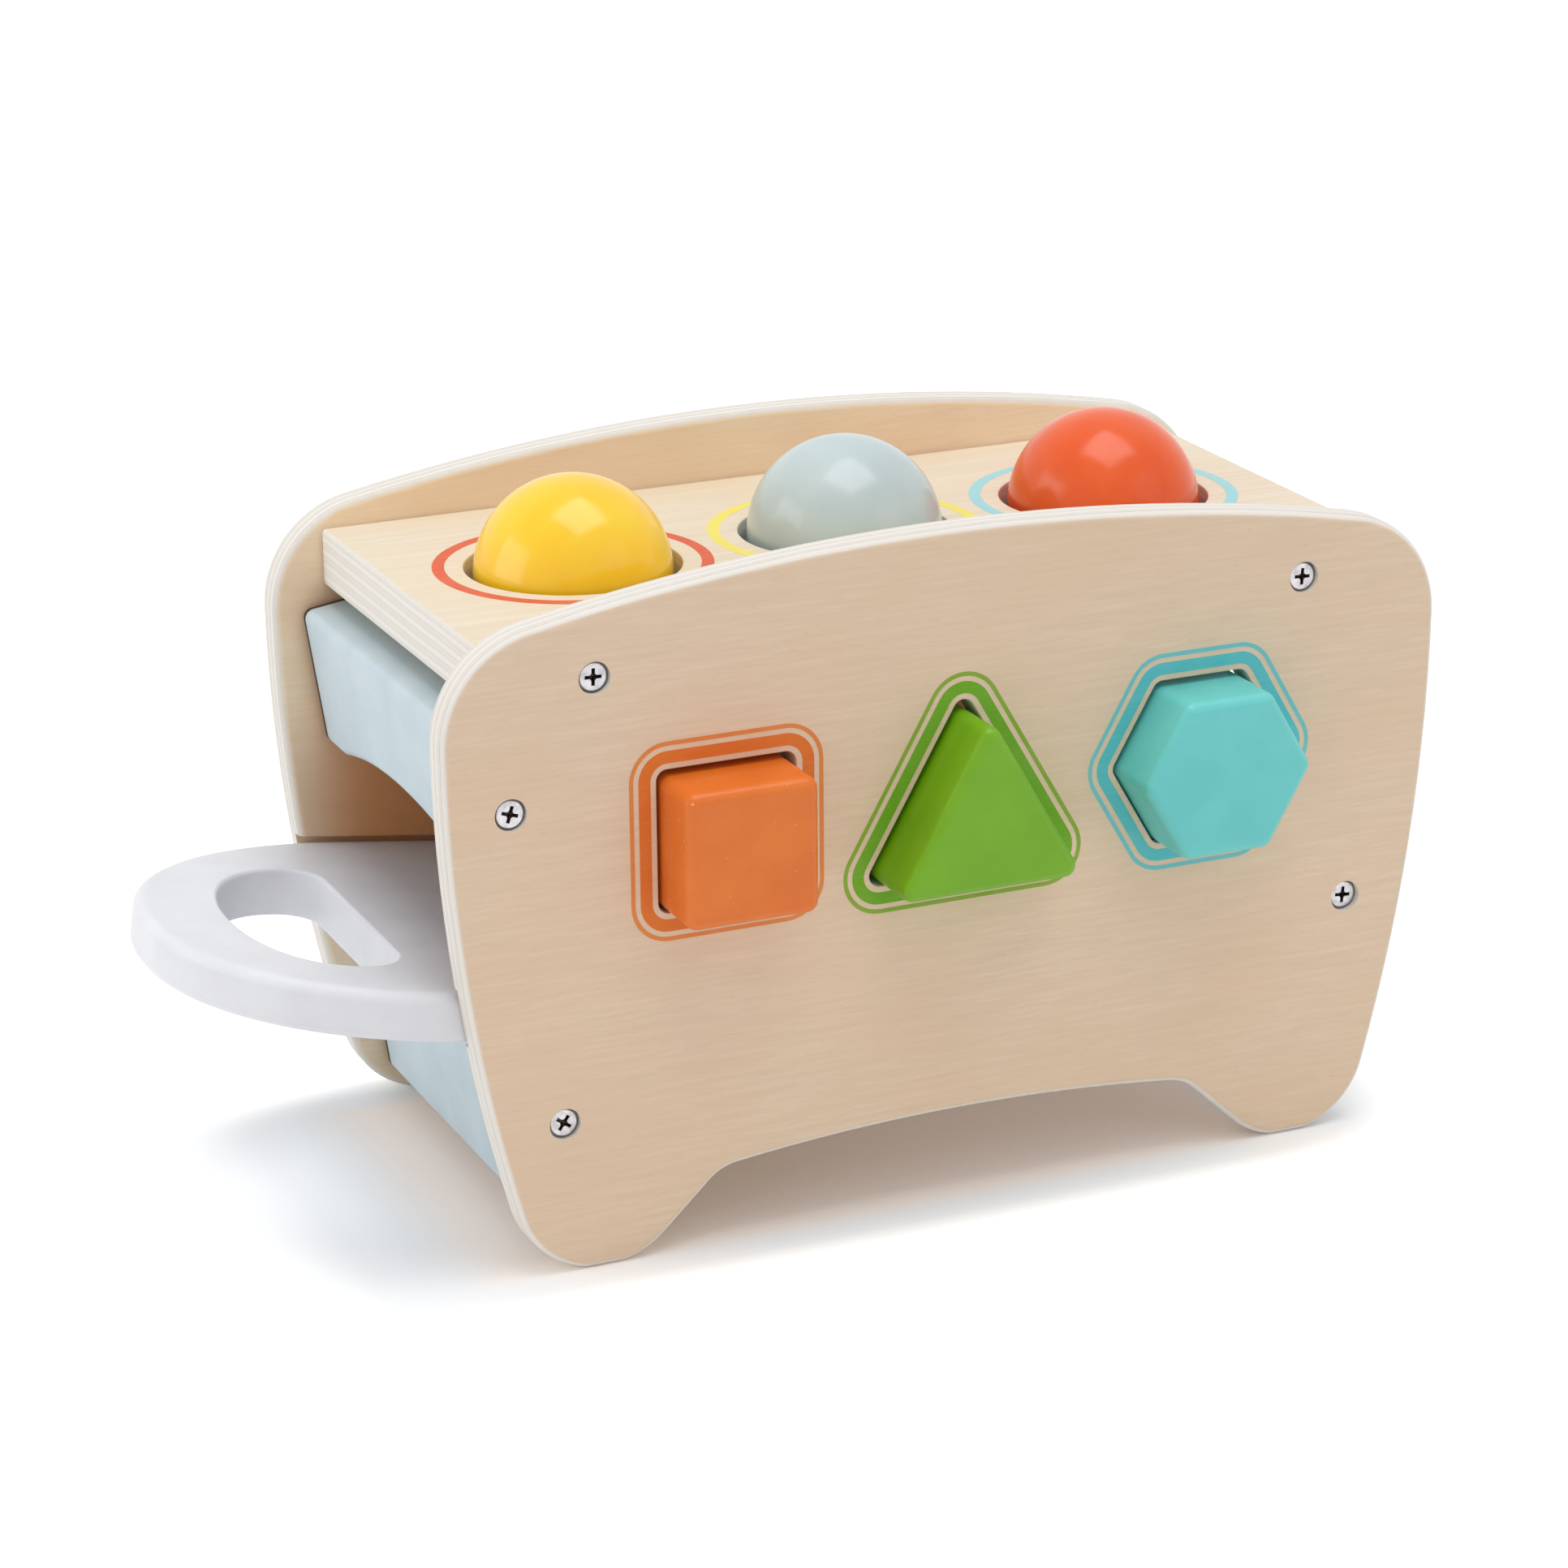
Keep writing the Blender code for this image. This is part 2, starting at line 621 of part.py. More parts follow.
def make_blocks():
    """The blocks lie on the lower edges of their holes and reach out on both sides."""
    length = BLOCK_REACH_OUT + PANEL_THICKNESS + BLOCK_REACH_IN
    y = -PANEL_Y + (BLOCK_REACH_IN - BLOCK_REACH_OUT) / 2
    drop = BLOCK_PLAY - CLEARANCE
    for word, sides, normal, inradius, across, up, code in shapes():
        name = word + "_block"
        outline = rounded_polygon(sides, inradius - BLOCK_PLAY, normal, BLOCK_CORNER)
        mesh = plate_mesh(name, [outline], length, BLOCK_ARRIS)
        centre = (across * PANEL_HALF_WIDTH, y, up * TOP_BOARD_BOTTOM - drop)
        block = add_piece(name, mesh, centre, UPRIGHT, bench)
        finish(block, code, 0.4)


def ball_spots():
    """Each ball's side, name, colour and place."""
    return (
        ("left", "yellow", YELLOW, -BALL_SPACING, BALL_Z),
        ("middle", "grey", GREY_BLUE, 0, BALL_Z + MIDDLE_BALL_LIFT),
        ("right", "red", RED, BALL_SPACING, BALL_Z),
    )


def ball_hole_cutter(name, x):
    """A ball's hole, with the wider rebate for its rubber ring at the underside."""
    rebate = RING_OUTER + CLEARANCE
    step = RING_TOP + CLEARANCE
    profile = [
        (0, TOP_BOARD_TOP + OVERRUN),
        (BALL_HOLE_RADIUS, TOP_BOARD_TOP + OVERRUN),
        (BALL_HOLE_RADIUS, step),
        (rebate, step),
        (rebate, TOP_BOARD_BOTTOM - OVERRUN),
        (0, TOP_BOARD_BOTTOM - OVERRUN),
    ]
    return add_cutter(name, turned_mesh(name, profile, ROUND_STEPS), (x, 0, 0), parent=bench)


def make_top_board(screw_holes):
    """The board between the panels, with its three ball holes."""
    size = (2 * TOP_BOARD_HALF_LENGTH, BOARD_WIDTH, TOP_BOARD_THICKNESS)
    board = rounded_box("top_board", size, TOP_BOARD_ARRIS, 1, (0, 0, TOP_BOARD_MIDDLE), parent=bench)
    finish(board, PALE_PLY, 0.5)
    cut(board, *screw_holes)
    for side, _, _, x, _ in ball_spots():
        cut(board, ball_hole_cutter(side + "_ball_hole_cutter", x))


def make_balls():
    """The balls, and under each hole the rubber ring whose inner edge holds its ball up."""
    reach = BALL_RADIUS + CLEARANCE
    for side, word, code, x, z in ball_spots():
        mesh = bpy.data.meshes.new("ball_" + word)
        shell = bmesh.new()
        bmesh.ops.create_uvsphere(
            shell, u_segments=BALL_SEGMENTS, v_segments=BALL_RINGS, radius=BALL_RADIUS
        )
        shell.to_mesh(mesh)
        shell.free()
        ball = add_piece("ball_" + word, mesh, (x, 0, z), parent=bench)
        finish(ball, code, 0.3)
        bore = sqrt(reach ** 2 - (z - RING_TOP) ** 2)
        profile = [
            (bore, RING_TOP),
            (RING_OUTER, RING_TOP),
            (RING_OUTER, RING_BOTTOM),
            (bore, RING_BOTTOM),
            (bore, RING_TOP),
        ]
        name = "ball_ring_" + side
        ring = add_piece(name, turned_mesh(name, profile, ROUND_STEPS), (x, 0, 0), parent=bench)
        finish(ring, BLACK_RUBBER, 0.7)


def make_end_boards(screw_holes):
    """Three boards that lean outwards at the top."""
    spots = (
        ("left_upper_end_board", LEFT_UPPER_X, LEFT_UPPER_Z, -1, LEFT_UPPER_DOWN, LEFT_UPPER_UP),
        ("left_lower_end_board", LEFT_LOWER_X, LEFT_LOWER_Z, -1, LEFT_LOWER_DOWN, LEFT_LOWER_UP),
        ("right_end_board", RIGHT_X, RIGHT_Z, 1, RIGHT_DOWN, RIGHT_UP),
    )
    for name, x, z, side, down, up in spots:
        axes = add_empty(name + "_axes", (x, 0, z), (0, side * END_BOARD_LEAN, 0), bench)
        board = end_board(name, axes, down, up, PALE_BLUE)
        cut(board, *screw_holes)
        if name == "left_upper_end_board":
            cut(board, exit_arch_cutter(axes))


def bar_places():
    """Each sound bar's place along the tray, its length and how far out its pins stand."""
    for count in range(BAR_COUNT):
        share = count / (BAR_COUNT - 1)
        length = LONGEST_BAR + (SHORTEST_BAR - LONGEST_BAR) * share
        yield BAR_START_INSET + count * BAR_PITCH, length, length * (1 / 2 - BAR_NODE_SHARE)


def pin_profile():
    """A round-head pin, its head on the bar."""
    seat = BAR_TOP + CLEARANCE
    end = -PIN_DEPTH
    shoulder_out, shoulder_up = PIN_SHOULDER_SHARES
    return [
        (0, seat + PIN_HEAD_HEIGHT),
        (PIN_HEAD_RADIUS * shoulder_out, seat + PIN_HEAD_HEIGHT * shoulder_up),
        (PIN_HEAD_RADIUS, seat),
        (PIN_RADIUS, seat),
        (PIN_RADIUS, end),
        (0, end),
    ]


def make_pins():
    """The pins at the front and back of the bars, and the cutter for all their holes."""
    pin = turned_mesh("pin", pin_profile(), PIN_STEPS)
    radius = PIN_RADIUS + PIN_PLAY
    top = BAR_TOP + OVERRUN
    bottom = -PIN_DEPTH - CLEARANCE
    hole = turned_mesh("pin_hole", [(0, top), (radius, top), (radius, bottom), (0, bottom)], PIN_STEPS)
    matrices = []
    for word, side in (("front", -1), ("back", 1)):
        for count, (along, _, out) in enumerate(bar_places(), start=1):
            spot = (along, side * out, 0)
            name = "bar_pin_" + word + "_" + str(count)
            finish(add_piece(name, pin, spot, parent=tray_axes), ZINC, 0.3, 1)
            matrices.append(Matrix.Translation(spot))
    mesh = repeated_mesh("pin_holes", hole, matrices)
    bpy.data.meshes.remove(hole)
    return add_cutter("pin_holes", mesh, (0, 0, 0), parent=tray_axes)


def make_tray(pin_holes):
    """The sliding board with its handle."""
    outlines = [tray_outline(), finger_outline()]
    mesh = plate_mesh("xylophone_tray", outlines, TRAY_THICKNESS, TRAY_ARRIS)
    tray = add_piece("xylophone_tray", mesh, (0, 0, -TRAY_THICKNESS / 2), parent=tray_axes)
    finish(tray, TRAY_WHITE, 0.4)
    cut(tray, pin_holes)


def make_bars(pin_holes):
    """The sound bars, longest at the handle's end."""
    z = BAR_BOTTOM + BAR_THICKNESS / 2
    for count, (along, length, _) in enumerate(bar_places(), start=1):
        name = "xylophone_bar_" + str(count)
        size = (BAR_WIDTH, length, BAR_THICKNESS)
        bar = rounded_box(name, size, BAR_ARRIS, 1, (along, 0, z), parent=tray_axes)
        finish(bar, ALUMINIUM, 0.3, 1)
        cut(bar, pin_holes)


def make_felts(pin_holes):
    """Two felt strips under the bars' still points, drawing together towards the short bars."""
    places = list(bar_places())
    wide = places[0][2]
    narrow = places[-1][2]
    run = BAR_LAST - BAR_START_INSET
    angle = atan2(wide - narrow, run)
    length = run / cos(angle) + BAR_WIDTH + 2 * FELT_OVERHANG
    for word, side in (("front", -1), ("back", 1)):
        name = "felt_strip_" + word
        mesh = box_mesh(name, (length, FELT_WIDTH, FELT_THICKNESS))
        middle = (BAR_START_INSET + BAR_LAST) / 2
        centre = (middle, side * (wide + narrow) / 2, CLEARANCE + FELT_THICKNESS / 2)
        strip = add_piece(name, mesh, centre, (0, 0, -side * angle), tray_axes)
        finish(strip, GREY_FELT, 0.9)
        cut(strip, pin_holes)


clear_scene()
parts = new_collection("pounding_bench_with_xylophone")
cutters = new_collection("cutters")
bench_place = (-(LEFTMOST + PANEL_HALF_WIDTH) / 2, -(FRONTMOST + OUTER_HALF_DEPTH) / 2, 0)
bench = add_empty("bench_axes", bench_place)
tray_axes = add_empty("tray_axes", (TRAY_MARK_X, 0, TRAY_MARK_Z), (0, TRAY_SLOPE, 0), bench)

all_screw_holes = make_screws()
make_panels(all_screw_holes, groove_cutter())
make_blocks()
make_top_board(all_screw_holes)
make_balls()
make_end_boards(all_screw_holes)
all_pin_holes = make_pins()
make_tray(all_pin_holes)
make_bars(all_pin_holes)
make_felts(all_pin_holes)
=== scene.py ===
"""Pounding bench with a slide-out xylophone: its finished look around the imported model.

Lengths are in metres. The bench's own axes stand midway between its side panels, on the floor:
X runs along the bench away from the handle, Y from the front panel to the back one, Z up.
"""

import logging
from collections.abc import Callable, Sequence
from dataclasses import dataclass, field
from enum import Enum
from math import asin, atan2, cos, pi, radians, sin, sqrt, tan
from typing import Any

import bmesh
import bpy
from mathutils import Matrix, Vector


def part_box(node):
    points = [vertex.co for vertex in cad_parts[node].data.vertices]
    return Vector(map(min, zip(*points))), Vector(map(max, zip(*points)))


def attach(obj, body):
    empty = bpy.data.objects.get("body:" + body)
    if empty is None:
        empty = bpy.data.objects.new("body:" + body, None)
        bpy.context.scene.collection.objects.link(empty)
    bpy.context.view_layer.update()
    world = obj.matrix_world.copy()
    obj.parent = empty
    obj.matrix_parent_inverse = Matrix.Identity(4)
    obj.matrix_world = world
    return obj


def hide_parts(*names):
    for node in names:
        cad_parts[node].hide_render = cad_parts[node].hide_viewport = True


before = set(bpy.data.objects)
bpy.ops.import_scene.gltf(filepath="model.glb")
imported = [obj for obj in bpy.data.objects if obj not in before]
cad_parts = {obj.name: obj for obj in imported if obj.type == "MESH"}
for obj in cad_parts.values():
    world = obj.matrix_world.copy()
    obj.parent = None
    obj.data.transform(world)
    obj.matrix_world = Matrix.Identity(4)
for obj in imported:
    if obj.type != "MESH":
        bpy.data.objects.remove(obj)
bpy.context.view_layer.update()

LOG = logging.getLogger("pounding_bench")
MILLIMETRES = 1000.0

# Points closer than the first merge, and a point this near to a level counts as on it
MERGE_DISTANCE = 0.00001
LEVEL_TOLERANCE = 0.00002

# How far a cutter stands clear of what it cuts, and the speck that an outline starts from
CUT_OVERRUN = 0.004
MARK_SIZE = 0.001

# Edges sharper than the first angle can be rounded; up to the second, in degrees, a surface is
# shaded as one
SHARP_ANGLE = radians(25)
SHADED_DEGREES = 32

# Where soft noise mostly lies, and where three colours go on it
NOISE_SPAN = (0.3, 0.7)
THREE_STOPS = (0.3, 0.5, 0.7)

# Settings that several shader nodes share
SOFTLY = {"interpolation_type": "SMOOTHSTEP"}
COLOURS = {"data_type": "RGBA"}

# The angle of straight down, measured anticlockwise from the right
DOWN = 3 * pi / 2

Point = tuple[float, float]
EdgeTest = Callable[[Vector, Vector], bool]

# A value's low and high, and what they turn into
Fade = tuple[float, float, float, float]


# Drawing and shaping


class DrawingPlane(Enum):
    """A flat plane to draw on: the directions across, up and towards the viewer."""

    FRONT = ((1, 0, 0), (0, 0, 1), (0, -1, 0))
    FLAT = ((1, 0, 0), (0, 1, 0), (0, 0, 1))
    END = ((0, 1, 0), (0, 0, 1), (1, 0, 0))

    def place(self, point: Point, level: float) -> Vector:
        """Turn a drawn point into a place in space.

        Args:
            point: Distances across and up.
            level: Height of the plane towards the viewer.

        Returns:
            The place in the piece's own axes.
        """
        across, up, towards = (Vector(axis) for axis in self.value)
        return across * point[0] + up * point[1] + towards * level

    def normal(self) -> Vector:
        """Direction towards the viewer."""
        return Vector(self.value[2])


@dataclass(frozen=True)
class Arc:
    """One arc of an outline, anticlockwise where the end is past the start."""

    centre: Point
    radius: float
    start: float
    end: float
    steps: int

    def point(self, angle: float) -> Point:
        """The arc's point at an angle."""
        across, up = self.centre
        return (across + self.radius * cos(angle), up + self.radius * sin(angle))

    def mirrored(self) -> "Arc":
        """The same arc on the other side of the middle, drawn the other way round."""
        centre = (-self.centre[0], self.centre[1])
        return Arc(centre, self.radius, pi - self.end, pi - self.start, self.steps)


def nothing_selected() -> None:
    """Leave edit mode and deselect every object."""
    if bpy.context.object and bpy.context.object.mode != "OBJECT":
        bpy.ops.object.mode_set(mode="OBJECT")
    bpy.ops.object.select_all(action="DESELECT")


def take(piece: bpy.types.Object) -> None:
    """Make a piece the only selected and active one.

    Args:
        piece: The piece.
    """
    nothing_selected()
    piece.select_set(True)
    bpy.context.view_layer.objects.active = piece


def open_mesh(piece: bpy.types.Object) -> None:
    """Take a piece into edit mode."""
    take(piece)
    bpy.ops.object.mode_set(mode="EDIT")


def close_mesh() -> None:
    """Go back to object mode."""
    bpy.ops.object.mode_set(mode="OBJECT")


def freeze_place(piece: bpy.types.Object) -> None:
    """Put a piece's place, turn and size into its mesh."""
    take(piece)
    bpy.ops.object.transform_apply(location=True, rotation=True, scale=True)


def pick_edges(piece: bpy.types.Object, test: EdgeTest) -> int:
    """Select sharp edges of the mesh in edit mode by the places of their ends.

    Args:
        piece: The piece in edit mode.
        test: Says whether an edge with these two ends is wanted.

    Returns:
        How many edges are selected.
    """
    bpy.ops.mesh.select_mode(type="EDGE")
    bpy.ops.mesh.select_all(action="DESELECT")
    shell = bmesh.from_edit_mesh(piece.data)
    count = 0
    for edge in shell.edges:
        sharp = len(edge.link_faces) == 2 and edge.calc_face_angle(0) > SHARP_ANGLE
        if sharp and test(edge.verts[0].co, edge.verts[1].co):
            edge.select_set(True)
            count += 1
    bmesh.update_edit_mesh(piece.data)
    return count


def round_edges(piece: bpy.types.Object, test: EdgeTest, width: float, segments: int) -> None:
    """Bevel the sharp edges that pass a test.

    Args:
        piece: The piece to round.
        test: Says which edges are wanted.
        width: Width of the bevel.
        segments: Number of facets across it.
    """
    open_mesh(piece)
    if pick_edges(piece, test):
        bpy.ops.mesh.bevel(offset=width, segments=segments, affect="EDGES", profile=0.5)
    close_mesh()


def every_edge(one: Vector, other: Vector) -> bool:
    """A test that every edge passes."""
    return True


def on_level(value: float, level: float) -> bool:
    """The value is as good as at the level."""
    return abs(value - level) < LEVEL_TOLERANCE


def at_level(axis: int, *levels: float) -> EdgeTest:
    """Make a test for edges that lie wholly at one of some levels.

    Args:
        axis: The axis that the levels are measured along, from 0 to 2.
        *levels: The levels.

    Returns:
        The test.
    """
    def test(one: Vector, other: Vector) -> bool:
        """Both ends are at the same wanted level."""
        return any(on_level(one[axis], level) and on_level(other[axis], level) for level in levels)

    return test


def both(first: EdgeTest, second: EdgeTest) -> EdgeTest:
    """Make a test that passes where two others do.

    Args:
        first: One test.
        second: The other.

    Returns:
        The test.
    """
    def test(one: Vector, other: Vector) -> bool:
        """Both tests pass."""
        return first(one, other) and second(one, other)

    return test


def distance_off(point: Vector, centre: Vector, axis: int) -> float:
    """Measure how far a point is from a line that runs along an axis.

    Args:
        point: The point.
        centre: A point of the line.
        axis: The axis it runs along, from 0 to 2.

    Returns:
        The distance.
    """
    offset = point - centre
    offset[axis] = 0
    return offset.length


def near_axis(centre: Vector, axis: int, reach: float) -> EdgeTest:
    """Make a test for edges within reach of a line that runs along an axis.

    Args:
        centre: A point of the line.
        axis: The axis it runs along, from 0 to 2.
        reach: How far from the line an edge may be.

    Returns:
        The test.
    """
    def test(one: Vector, other: Vector) -> bool:
        """Both ends are within reach of the line."""
        return max(distance_off(end, centre, axis) for end in (one, other)) < reach

    return test


class Pencil:
    """Draws an outline stroke by stroke in edit mode, then gives it thickness."""

    def __init__(self, name: str, plane: DrawingPlane, level: float, start: Point) -> None:
        """Set the pencil down.

        Args:
            name: Name of the piece.
            plane: The plane to draw on.
            level: The plane's height towards the viewer.
            start: First point of the outline.
        """
        nothing_selected()
        self.plane = plane
        self.level = level
        self.here = start
        bpy.ops.mesh.primitive_plane_add(size=MARK_SIZE, location=plane.place(start, level))
        self.piece: bpy.types.Object = bpy.context.object
        self.piece.name = name
        self.piece.data.name = name
        freeze_place(self.piece)
        open_mesh(self.piece)
        bpy.ops.mesh.select_mode(type="VERT")
        bpy.ops.mesh.select_all(action="SELECT")
        bpy.ops.mesh.merge(type="CENTER")

    def line_to(self, point: Point) -> None:
        """Draw a straight stroke, unless the pencil is there already.

        Args:
            point: Where the stroke ends.
        """
        step = Vector(point) - Vector(self.here)
        if step.length > MERGE_DISTANCE:
            travel = self.plane.place(tuple(step), 0)
            bpy.ops.mesh.extrude_vertices_move(TRANSFORM_OT_translate={"value": travel})
            self.here = point

    def arc(self, arc: Arc) -> None:
        """Draw a stroke to an arc's start and then the arc.

        Args:
            arc: The arc to draw.
        """
        self.line_to(arc.point(arc.start))
        bpy.ops.mesh.spin(
            steps=arc.steps,
            angle=arc.start - arc.end,
            center=self.plane.place(arc.centre, self.level),
            axis=self.plane.normal(),
        )
        self.here = arc.point(arc.end)

    def close(self) -> bpy.types.Object:
        """Join the end to the start and fill the outline.

        Returns:
            The flat piece, still in edit mode with its face selected.
        """
        bpy.ops.mesh.select_all(action="SELECT")
        bpy.ops.mesh.remove_doubles(threshold=MERGE_DISTANCE)
        bpy.ops.mesh.edge_face_add()
        return self.piece

    def solid(self, depth: float) -> bpy.types.Object:
        """Close the outline and pull it away from the viewer.

        Args:
            depth: How thick the piece becomes.

        Returns:
            The closed piece, in object mode.
        """
        self.close()
        travel = self.plane.place((0, 0), -depth)
        bpy.ops.mesh.extrude_region_move(TRANSFORM_OT_translate={"value": travel})
        face_outwards()
        close_mesh()
        return self.piece


def face_outwards() -> None:
    """Merge doubles and turn all faces of the mesh in edit mode outwards."""
    bpy.ops.mesh.select_all(action="SELECT")
    bpy.ops.mesh.remove_doubles(threshold=MERGE_DISTANCE)
    bpy.ops.mesh.normals_make_consistent(inside=False)


def draw_arcs(name: str, plane: DrawingPlane, level: float, arcs: Sequence[Arc]) -> Pencil:
    """Draw a whole outline of arcs with straight strokes between them.

    Args:
        name: Name of the piece.
        plane: The plane to draw on.
        level: The plane's height towards the viewer.
        arcs: The arcs in order.

    Returns:
        The pencil, with the outline ready to close.
    """
    pencil = Pencil(name, plane, level, arcs[0].point(arcs[0].start))
    for arc in arcs:
        pencil.arc(arc)
    pencil.line_to(arcs[0].point(arcs[0].start))
    return pencil


def block_out(name: str, low: Vector, high: Vector) -> bpy.types.Object:
    """Add a cube between two corners, to be shaped further.

    Args:
        name: Name of the piece.
        low: Its lowest corner.
        high: Its highest corner.

    Returns:
        The box, in object mode.
    """
    nothing_selected()
    bpy.ops.mesh.primitive_cube_add(size=1, location=(low + high) / 2, scale=high - low)
    piece = bpy.context.object
    piece.name = name
    piece.data.name = name
    freeze_place(piece)
    return piece


def turn_profile(name: str, profile: Sequence[Point], steps: int) -> bpy.types.Object:
    """Turn a profile of (radius, height) points about Z.

    Args:
        name: Name of the piece.
        profile: The points in order; a profile that doesn't start and end on the axis is closed.
        steps: Number of steps round.

    Returns:
        The turned piece, in object mode.
    """
    pencil = Pencil(name, DrawingPlane.FRONT, 0, profile[0])
    for point in profile[1:]:
        pencil.line_to(point)
    bpy.ops.mesh.select_all(action="SELECT")
    bpy.ops.mesh.spin(steps=steps, angle=2 * pi, center=(0, 0, 0), axis=(0, 0, 1))
    face_outwards()
    close_mesh()
    return pencil.piece


def apply_modifier(piece: bpy.types.Object, kind: str, **settings: Any) -> None:
    """Add a modifier and apply it.

    Args:
        piece: The piece it works on.
        kind: The modifier's type.
        **settings: Its settings by name.
    """
    take(piece)
    modifier = piece.modifiers.new(kind.title(), kind)
    for name, value in settings.items():
        setattr(modifier, name, value)
    bpy.ops.object.modifier_apply(modifier=modifier.name)


def carve(piece: bpy.types.Object, *cutters: bpy.types.Object) -> None:
    """Cut shapes out of a piece and throw the cutters away.

    Args:
        piece: The piece to cut.
        *cutters: The shapes to cut out.
    """
    for cutter in cutters:
        apply_modifier(piece, "BOOLEAN", operation="DIFFERENCE", solver="EXACT", object=cutter)
        discard(cutter)


def discard(piece: bpy.types.Object) -> None:
    """Remove a helper piece and its mesh.

    Args:
        piece: The helper piece.
    """
    mesh = piece.data
    bpy.data.objects.remove(piece)
    bpy.data.meshes.remove(mesh)


def copy_piece(piece: bpy.types.Object, name: str, matrix: Matrix) -> bpy.types.Object:
    """Copy a piece with its own mesh and seat the copy.

    Args:
        piece: The piece to copy.
        name: Name of the copy.
        matrix: Where the copy goes.

    Returns:
        The copy, its place in its mesh.
    """
    copy = piece.copy()
    copy.data = piece.data.copy()
    copy.name = name
    copy.data.name = name
    bpy.context.scene.collection.objects.link(copy)
    seat(copy, matrix)
    return copy


def seat(piece: bpy.types.Object, matrix: Matrix) -> None:
    """Move a piece from its own axes to its place, and put that place in its mesh."""
    piece.matrix_world = matrix
    freeze_place(piece)


def smooth(piece: bpy.types.Object, degrees: float = SHADED_DEGREES) -> None:
    """Shade a piece smooth up to an angle, with flat faces kept flat.

    Args:
        piece: The piece to shade.
        degrees: Sharpest angle that is shaded smooth.
    """
    take(piece)
    bpy.ops.object.shade_smooth_by_angle(angle=radians(degrees))
    apply_modifier(piece, "WEIGHTED_NORMAL", keep_sharp=True, weight=100)


def dress(
    piece: bpy.types.Object,
    finish: "Finish",
    body: str,
    replaces: Sequence[str] = (),
) -> None:
    """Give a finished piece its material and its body.

    Args:
        piece: The finished piece.
        finish: Its finish.
        body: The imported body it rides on.
        replaces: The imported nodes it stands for.
    """
    piece.data.materials.clear()
    piece.data.materials.append(finish.material())
    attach(piece, body)
    if replaces:
        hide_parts(*replaces)
    LOG.info("%s: %d faces on %s", piece.name, len(piece.data.polygons), body)


class Slot(Enum):
    """The record's material slots."""

    PLYWOOD = "plywood"
    PALE_PLYWOOD = "pale_plywood"
    PALE_BLUE = "pale_blue_paint"
    WHITE = "white_paint"
    YELLOW = "yellow_paint"
    GREY_BLUE = "grey_blue_paint"
    RED = "red_paint"
    ORANGE = "orange_paint"
    GREEN = "green_paint"
    TEAL = "teal_paint"
    RUBBER = "black_rubber"
    FELT = "grey_felt"
    BAR_METAL = "bar_metal"
    ZINC = "zinc"


# Finishes


def linear(code: str) -> tuple[float, float, float, float]:
    """Turn a six-digit sRGB colour into linear values.

    Args:
        code: The colour as hex digits.

    Returns:
        Red, green, blue and an alpha of 1.
    """
    shares = [int(code[start:start + 2], 16) / 255 for start in (0, 2, 4)]
    values = [s / 12.92 if s <= 0.04045 else ((s + 0.055) / 1.055) ** 2.4 for s in shares]
    return (values[0], values[1], values[2], 1.0)


def add_node(
    tree: bpy.types.NodeTree,
    kind: str,
    inputs: Sequence[Any] | dict[str, Any] = (),
    output: int | str = 0,
    stops: Sequence[tuple[float, str]] = (),
    **settings: Any,
) -> bpy.types.NodeSocket:
    """Add a shader node with its settings and links.

    Args:
        tree: The tree it goes in.
        kind: The node's type, without the words that all types start with.
        inputs: Its inputs by name, or in order; a socket is linked and anything else is set.
        output: Which of its outputs is handed on.
        stops: Positions and sRGB colours of a colour ramp.
        **settings: The node's own settings.

    Returns:
        The chosen output.
    """
    made = tree.nodes.new("ShaderNode" + kind)
    for name, value in settings.items():
        setattr(made, name, value)
    for number, (position, code) in enumerate(stops):
        elements = made.color_ramp.elements
        element = elements[number] if number < 2 else elements.new(position)
        element.position = position
        element.color = linear(code)
    if isinstance(inputs, dict):
        pairs = [(made.inputs[name], value) for name, value in inputs.items()]
    else:
        pairs = zip([socket for socket in made.inputs if socket.enabled], inputs)
    for socket, value in pairs:
        if isinstance(value, bpy.types.NodeSocket):
            tree.links.new(value, socket)
        else:
            socket.default_value = value
    outputs = [socket for socket in made.outputs if socket.enabled]
    return made.outputs[output] if isinstance(output, str) else (outputs or [None])[output]


@dataclass(frozen=True)
class Pattern:
    """Soft noise whose features have a real size along X, Y and Z, in millimetres."""

    feature: tuple[float, float, float]
    detail: float = 2.0
    roughness: float = 0.5
    distortion: float = 0.0

    def draw(self, tree: bpy.types.NodeTree, place: bpy.types.NodeSocket) -> bpy.types.NodeSocket:
        """Draw the pattern.

        Args:
            tree: The material's tree.
            place: Coordinates in metres.

        Returns:
            The pattern's value, about 0.3 to 0.7.
        """
        scale = tuple(MILLIMETRES / size for size in self.feature)
        spot = add_node(tree, "Mapping", {"Vector": place, "Scale": scale})
        values = {
            "Vector": spot,
            "Scale": 1.0,
            "Detail": self.detail,
            "Roughness": self.roughness,
            "Distortion": self.distortion,
        }
        return add_node(tree, "TexNoise", values)


MIXED: dict["Finish", bpy.types.Material] = {}


